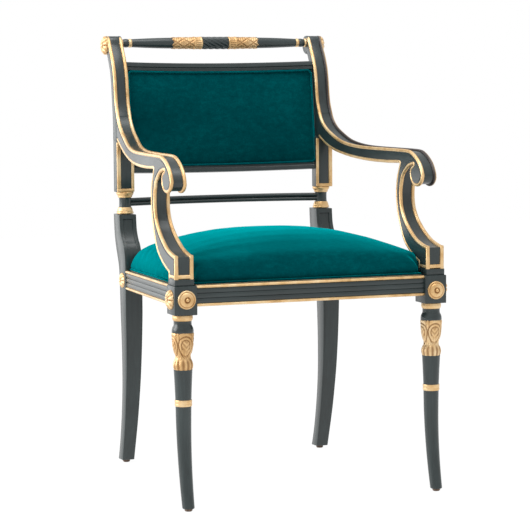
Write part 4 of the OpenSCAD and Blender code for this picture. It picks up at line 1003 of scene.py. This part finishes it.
def bow_spot(x, depth, z):
    y = back_bow - bow_r + sqrt((bow_r + depth) ** 2 - x * x)
    return Vector((x, back_y + y * cos(rake) + z * sin(rake),
                   back_z - y * sin(rake) + z * cos(rake)))


def bowed(section, x0, x1, softness=0.0):
    bm = board(section, x0, x1)
    if softness:
        soften(bm, softness)
    first = ceil(x0 / bow_step) * bow_step
    cut_across(bm, [x for x in range(first, int(x1) + 1, bow_step) if x0 + 1 < x < x1 - 1])
    for v in bm.verts:
        v.co = bow_spot(*v.co)
    return bm


top_section = [
    (0, -8.6), (0, -1.6), (0.5, -0.5), (1.6, 0), (20, 0), (20, -17), (3.6, -17), (2.6, -16.4),
    (2.1, -15.2), (2.4, -13.8), (3.6, -13.1), (3.6, -10.6), (2.9, -9.4), (1.4, -8.7)]
top_rail = bowed([(d, back_h + z) for d, z in top_section], -back_half_wide, back_half_wide)
finish_piece("back_top_rail_wood", top_rail, wood_x, ("back_top_rail",))
low_section = [
    (0, 7), (0, 1.6), (0.5, 0.5), (1.6, 0), (20, 0), (20, 14), (3.6, 14), (2.6, 13.5), (2.1, 12.4),
    (2.4, 11.2), (3.6, 10.6), (3.6, 8.8), (2.9, 7.6), (1.4, 7.1)]
bottom_rail = bowed(low_section, -back_half, back_half)
finish_piece("back_bottom_rail_wood", bottom_rail, wood_x, ("back_bottom_rail",))
stile = bmesh.new()
for x0, x1, face, low in ((189.9, 199.6, 11.6, 13.2), (199.9, 204.7, 8, 69.2)):
    join(stile, bowed(oblong(face, 20, low, back_h - 16), x0, x1, 0.8))
both_hands("back_stile_wood", stile, wood_z, "back_stile")

# %% Reeded stretcher on a bow of its own
stretcher_half, stretcher_z, reed_r = 206.0, 541.5, 4.125
stretcher_r = (stretcher_half ** 2 + back_bow ** 2) / (2 * back_bow)
stretcher_section = [
    (-6.5 + reed_r + reed_r * cos(radians(a)), middle + reed_r * sin(radians(a)))
    for middle, first in ((reed_r, 90), (-reed_r, 105)) for a in range(first, 271, 15)]
stretcher_section += [(-d, z) for d, z in stretcher_section[::-1]]
stretcher = board(stretcher_section, -stretcher_half, stretcher_half)
cut_across(stretcher, range(-14 * bow_step, 200, bow_step))
for v in stretcher.verts:
    bow = sqrt((stretcher_r + v.co.y) ** 2 - v.co.x ** 2)
    v.co.y = neck_y + back_bow - stretcher_r + bow
    v.co.z += stretcher_z
finish_piece("back_stretcher_wood", stretcher, wood_x, ("back_stretcher",), round_to=50)

# %% [markdown]
# The crest rail is turned between the top scrolls. Its middle is cut with spiral reeds,
# as rope is twisted, and both sides are gilt: a fluted collar beside the reeds, then leaves
# that cross like lattice. Where their short tips end, the gilt surface dips under the dark
# wood, which gives the pointed outline. Two thin gilt rings stand near either end.

# %% Crest rail
crest_spot = (0, crook_y, crest_axis_z)
rope_half, rope_pitch = 28.8, 27
leaf_start, leaf_length, lattice_pitch = 30, 66.5, 27
half_crest = [
    (12.3, 0), (12.3, 28.6), (11.2, 29.4), (11.2, 97), (11.2, 102), (10.8, 124), (9.9, 150),
    (8.7, 176), (8.4, 181), (7.4, 183), (7.4, 187), (7.8, 188.4), (8.6, 189.8), (8.9, 192),
    (8.9, 195), (8.4, 197.4), (7.9, 199), (7.9, 204.6), (0, 204.6)]
crest_profile = [(r, -x) for r, x in half_crest[:0:-1]] + half_crest


def rope(angle, x):
    if abs(x) > rope_half:
        return 0
    return 2 * abs(sin(angle * 4.5 - x * 2 * pi / rope_pitch)) ** 0.7 - 1.3


crest = carved(turned(profile_rows(crest_profile, 1.6), 144), rope, 1.15)
finish_piece("crest_rail_wood", placed(crest, crest_spot, "x"), wood_x, ("crest_rail",))


def crest_leaf(angle, x):
    s = abs(x) - leaf_start
    if s < 14:
        return (1.1 * abs(cos(angle * 9)) ** 0.8 - 0.5) if s > 3 else 0.5
    if s < 17.5:
        return 0.6
    if s > leaf_length - 4.5 * abs(sin(angle * 3 + 0.5)):
        return -2.6
    bands = [angle * 4 / (2 * pi) + sign * s / lattice_pitch for sign in (1, -1)]
    lines = max(hump(band - floor(band + 0.5), 0.085) for band in bands)
    cell = cos(angle * 4) * cos(2 * pi * s / lattice_pitch)
    veins = 0.26 * cos(2 * pi * s / 4.8) * (1 - lines)
    return 0.4 - 1.35 * lines + 0.35 * cell + veins


crest_gilding = bmesh.new()
leaf_profile = [
    (9, 29), (12.4, 29.2), (13, 30.4), (13, 32.2), (12.3, 33.2), (12.3, 43.4), (13, 44.4),
    (13, 46.4), (12.3, 47.6), (12.2, 60), (12.1, 84), (12, 94), (11.6, 96.8), (9, 97)]
outer_ring = [
    (6, 181.6), (8, 181.7), (8.8, 182.6), (9.2, 184), (9.2, 186.2), (8.8, 187.6), (8, 188.5),
    (6, 188.6)]
end_ring = [(6, 200.8), (8, 200.9), (8.9, 201.6), (9.2, 202.6), (9.3, 204.7), (6, 204.7)]
for side in (1, -1):
    rows = [(r, side * x) for r, x in profile_rows(leaf_profile, 0.9)]
    leaves = carved(turned(rows + [rows[0]], 144), crest_leaf, 0.75)
    join(crest_gilding, placed(leaves, crest_spot, "x"))
    for section in (outer_ring, end_ring):
        add_ring(crest_gilding, [(r, side * x) for r, x in section], crest_spot, "x")
finish_piece("crest_rail_gilding", crest_gilding, gilt_wood, round_to=50)

# %% [markdown]
# The rosettes are gilt discs. Those on the fronts of the legs are turned: a thin rim, a low
# dome and a small boss in a groove, and the left one was nailed on a little higher than the
# right one. Those at the sides are carved with petals and have a scalloped edge, so the
# turned disc is shaped further by a pattern over angle.

# %% Rosettes
turned_disc = [
    (0, 9), (1.2, 8.9), (2.4, 8.5), (3.3, 7.6), (3.7, 6.2), (4.1, 4.7), (4.7, 4.3), (5.3, 4.8),
    (6, 6), (7, 6.5), (8.5, 6.3), (10.5, 5.5), (12.6, 4.4), (13.8, 3.4), (14.4, 2.6), (15, 2.4),
    (15.5, 3), (16.2, 3.4), (17, 3.2), (17.8, 2.4), (18.1, 1.4), (18.2, 0.6), (18.2, -0.5),
    (0, -0.5)]
petal_disc = [
    (0, 9), (1.6, 8.8), (2.8, 7.9), (3.4, 6.4), (4, 5.4), (4.8, 5.3), (6, 6.4), (8, 7.1),
    (10, 6.9), (12, 6.2), (14, 5.2), (15.6, 4), (16.8, 2.9), (17.6, 1.6), (17.8, 0.6),
    (17.8, -0.5), (0, -0.5)]


def disc(profile, radius, height, petals=0):
    bm = turned(profile_rows(smooth(profile[:-2], 2), 0.8) + profile[-2:], 96)
    layer = bm.verts.layers.float.new("hollow")
    rim, crown = profile[-3][0], profile[0][1]
    for v in bm.verts:
        r, a = hypot(v.co.x, v.co.y), atan2(v.co.y, v.co.x)
        # The hollow values paint shade into the gilding: the brown between the petals and at the
        # centre is painted shade, and the grooves round the boss and near the rim are darkened as
        # dust and painted shade.
        if petals:
            v[layer] = 0.85 * hump(r - 4.4, 1.8)
        else:
            v[layer] = max(hump(r - 4.8, 1.0), 0.6 * hump(r - 14.7, 0.7))
        if petals and r > 4.5 and v.co.z > 0.3:
            wave = abs(cos(a * petals / 2))
            part = min((r - 4.5) / 4, 1)
            v.co.z += (wave ** 0.6 - 0.72) * 2.6 * part
            edge = 1 + 0.055 * (wave - 0.6) * (r / rim) ** 2
            v.co.x, v.co.y = v.co.x * edge, v.co.y * edge
            v[layer] = max(v[layer], 0.95 * unit(1 - wave * 1.4) * part)
            v.co.z = max(v.co.z, 0.2)
    bmesh.ops.scale(bm, vec=(radius / rim, radius / rim, height / crown), verts=bm.verts)
    return bm


for side, x, z in (("right", front_x, 388.4), ("left", front_x - 1.2, 391.8)):
    rosette = placed(disc(turned_disc, 17.5, 9), (x, 0, z), "-y")
    finish_piece(f"front_rosette_gilding_{side}", rosette, gilt_wood, (f"front_rosette_{side}",),
                 round_to=60, mirrored=side == "left")
for name, radius, height, spot in (("side", 17.9, 9.6, (273.4, leg_y + 1.5, 391)),
                                   ("rear", 15.2, 6.3, (234.4, 466.5, 384.5)),
                                   ("scroll", 18.6, 9.4, (post_out_x, crook_y, crook_z))):
    rosette = placed(disc(petal_disc, radius, height, 10), spot, "x")
    both_hands(f"{name}_rosette_gilding", rosette, gilt_wood, f"{name}_rosette", round_to=60)

# %% [markdown]
# Seat and back are padded and covered in velvet. A cushion is best made as upholstery is:
# take the stuffed form, give it a skin of even cloth, and let pressure swell it until it
# is tight. The movement is capped so that it stays in its place, and the underside stays
# flat on its frame.

# %% Stuffing a pad
def copy_of_solid(name):
    bm = bmesh.new()
    bm.from_mesh(frame["nodes"][name].data)
    bmesh.ops.remove_doubles(bm, verts=bm.verts, dist=1e-5)
    bmesh.ops.recalc_face_normals(bm, faces=bm.faces)
    return bm


settle_frames = 20


def stuffed(name, bm, replaced, voxel, cap, pressure, held):
    mesh = bpy.data.meshes.new(name)
    bm.to_mesh(mesh)
    bm.free()
    pad = linked(name, mesh)
    skin = pad.modifiers.new("skin", "REMESH")
    skin.mode, skin.voxel_size, skin.use_smooth_shade = "VOXEL", voxel, True
    graph = bpy.context.evaluated_depsgraph_get()
    pad.data = bpy.data.meshes.new_from_object(pad.evaluated_get(graph))
    pad.modifiers.clear()
    rest = [v.co.copy() for v in pad.data.vertices]
    cloth = pad.modifiers.new("cloth", "CLOTH")
    cloth.settings.use_pressure = True
    cloth.settings.uniform_pressure_force = pressure
    cloth.settings.effector_weights.gravity = 0
    cloth.settings.quality = 6
    cloth.point_cache.frame_start, cloth.point_cache.frame_end = 1, settle_frames
    for step in range(1, settle_frames + 1):
        bpy.context.scene.frame_set(step)
    swollen = pad.evaluated_get(bpy.context.evaluated_depsgraph_get()).data
    moved = [v.co.copy() for v in swollen.vertices]
    pad.modifiers.clear()
    bpy.context.scene.frame_set(1)
    for v, start, end in zip(pad.data.vertices, rest, moved):
        shift = end - start
        v.co = start + shift * (min(1, cap / max(shift.length, 1e-9)) * held(start))
    skin = bmesh.new()
    skin.from_mesh(pad.data)
    for _ in range(3):
        bmesh.ops.smooth_vert(skin, verts=skin.verts, factor=0.5, use_axis_x=True,
                              use_axis_y=True, use_axis_z=True)
    skin.to_mesh(pad.data)
    skin.free()
    finer = pad.modifiers.new("finer", "SUBSURF")
    finer.levels = finer.render_levels = 1
    pad.data.materials.clear()
    pad.data.materials.append(velvet)
    pad.data.shade_smooth()
    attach(pad, "root")
    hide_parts(replaced)
    return pad


# %% Seat cushion
seat = copy_of_solid("seat_pad")
low_z = min(v.co.z for v in seat.verts)
for v in seat.verts:
    up = unit((v.co.z - low_z - 0.004) / 0.02)
    v.co.z += up * 0.003 * min(abs(v.co.x) / 0.235, 1) ** 5
seat_cushion = stuffed("seat_cushion", seat, "seat_pad", voxel=0.005, cap=0.005, pressure=4.0,
                       held=lambda spot: unit((spot.z - low_z - 0.008) / 0.02))
print("seat cushion", len(seat_cushion.data.vertices), "points")

# %% Back pad
back = copy_of_solid("back_pad")
for v in back.verts:
    v.co.x *= 1.022
wide = max(abs(v.co.x) for v in back.verts)
foot, head = min(v.co.z for v in back.verts), max(v.co.z for v in back.verts)


def off_the_edge(spot):
    inset = min(wide - abs(spot.x), spot.z - foot, head - spot.z)
    return unit((inset - 0.008) / 0.03)


back_cushion = stuffed("back_cushion", back, "back_pad", voxel=0.004, cap=0.003,
                       pressure=3.0, held=off_the_edge)
print("back pad", len(back_cushion.data.vertices), "points")

# %% [markdown]
# A welt, a cord covered in the same velvet, hides the edge where the cover is tacked. It
# runs round the foot of the seat cushion and just inside the frame of the back, where the
# cover's edge is turned in flat behind it. The back's welt takes a lighter copy of the
# velvet, a painted highlight along the cord.

# %% Welts
front_lip_x, seat_welt_z = 260.37, 419.4
welt_x, welt_low, welt_high = 201.4, 15.6, 208.6


def side_lip_x(y):
    return front_lip_x - (y - block_w) * tan(side_angle)


seat_edge = [(226.6, 16.2), (226.6, 47.2), (side_lip_x(48) - 1.4, 48),
             (side_lip_x(442) - 1.4, 442), (195.6, 443), (195.6, 472.6)]
seat_edge = [(-x, y) for x, y in seat_edge] + seat_edge[::-1]
seat_welt = bead([falling @ Vector((x, y, seat_welt_z)) for x, y in seat_edge], 2.0,
                 sides=4, cyclic=True)
back_edge = ([(x, welt_low) for x in range(-196, 197, 8)]
             + [(welt_x, z) for z in range(20, 205, 14)]
             + [(x, welt_high) for x in range(196, -197, -8)]
             + [(-welt_x, z) for z in range(204, 19, -14)])
back_welt = bead([bow_spot(x, 1.6, z) for x, z in back_edge], 1.9, sides=4, cyclic=True)
finish_piece("seat_welt", seat_welt, velvet, round_to=60)
# The back's welt takes the lighter velvet: a painted highlight.
finish_piece("back_welt", back_welt, velvet_painted_highlight, round_to=60)
cover_half = 203.6
turned_in = bowed(oblong(5.6, 7.8, 13.4, 210.2), -cover_half, cover_half)
finish_piece("back_cover_edge", turned_in, velvet)

# %% [markdown]
# The outside of the back is closed with a plain panel of the same velvet, pulled tight
# over its board. It is a thin sheet on the same bow, very slightly rounded at its edges.

# %% Rear panel of the back
rear_panel_half = 189.2
rear_panel = bowed(oblong(17.6, 19.6, 14.6, 209.9), -rear_panel_half, rear_panel_half, 0.9)
finish_piece("back_panel_velvet", rear_panel, velvet, ("back_rear_cover",))

# %% [markdown]
# The photograph has a plain white ground, so the floor and the world are white to the
# camera and in reflections, and the floor keeps a faint shadow. The lamps are soft and
# plain: a large one from the left, where the photograph is brightest, one overhead, and a
# weak one from behind that draws the edges.

# %% Floor
floor_bm = bmesh.new()
bmesh.ops.create_grid(floor_bm, x_segments=1, y_segments=1, size=6)
floor_mesh = bpy.data.meshes.new("studio_floor")
floor_bm.to_mesh(floor_mesh)
floor_bm.free()
studio_floor = linked("studio_floor", floor_mesh)
floor_finish = Finish("studio_floor")
seen, glossy, through = floor_finish.rays("Camera", "Glossy", "Transmission")
floor_finish.paint(Base_Color=(0.9, 0.9, 0.9, 1), Roughness=0.9)
glow = floor_finish.node("Emission", {}, {"Color": (1, 1, 1, 1), "Strength": 1.04})
mixed = floor_finish.node("MixShader", {}, {
    0: ((seen + glossy + through).clamped() * 0.93),
    1: Signal(floor_finish, floor_finish.shader.outputs[0]), 2: glow})
floor_finish.set(floor_finish.tree.nodes["Material Output"].inputs["Surface"], mixed)
floor_mesh.materials.append(floor_finish.material)

# %% World
world = bpy.data.worlds.new("studio")
bpy.context.scene.world = world
world.use_nodes = True
sky = Network(world.node_tree)
background = sky.tree.nodes["Background"].inputs
background["Color"].default_value = (1, 1, 1, 1)
seen, through = sky.rays("Camera", "Transmission")
sky.set(background["Strength"], sky.node("MapRange", {}, {
    "Value": seen.maths("MAXIMUM", seen, through), "To Min": 0.75, "To Max": 1.0}))

# %% Lamps
def soft_lamp(name, place, target, size, power):
    lamp = bpy.data.lights.new(name, "AREA")
    lamp.shape = "DISK"
    lamp.size = size
    lamp.energy = power
    holder = linked(name, lamp)
    holder.location = place
    aim = Vector(target) - Vector(place)
    holder.rotation_euler = aim.to_track_quat("-Z", "Y").to_euler()


soft_lamp("left_lamp", (-3.2, 0.9, 1.5), (0, 0, 0.5), 2.4, 80)
soft_lamp("rear_lamp", (-1.9, 3.4, 1.0), (0, 0, 0.5), 3.0, 24)
soft_lamp("top_lamp", (-0.4, -0.6, 3.4), (0, 0, 0.4), 2.6, 60)
bpy.context.scene.view_settings.view_transform = "Standard"
print("studio ready")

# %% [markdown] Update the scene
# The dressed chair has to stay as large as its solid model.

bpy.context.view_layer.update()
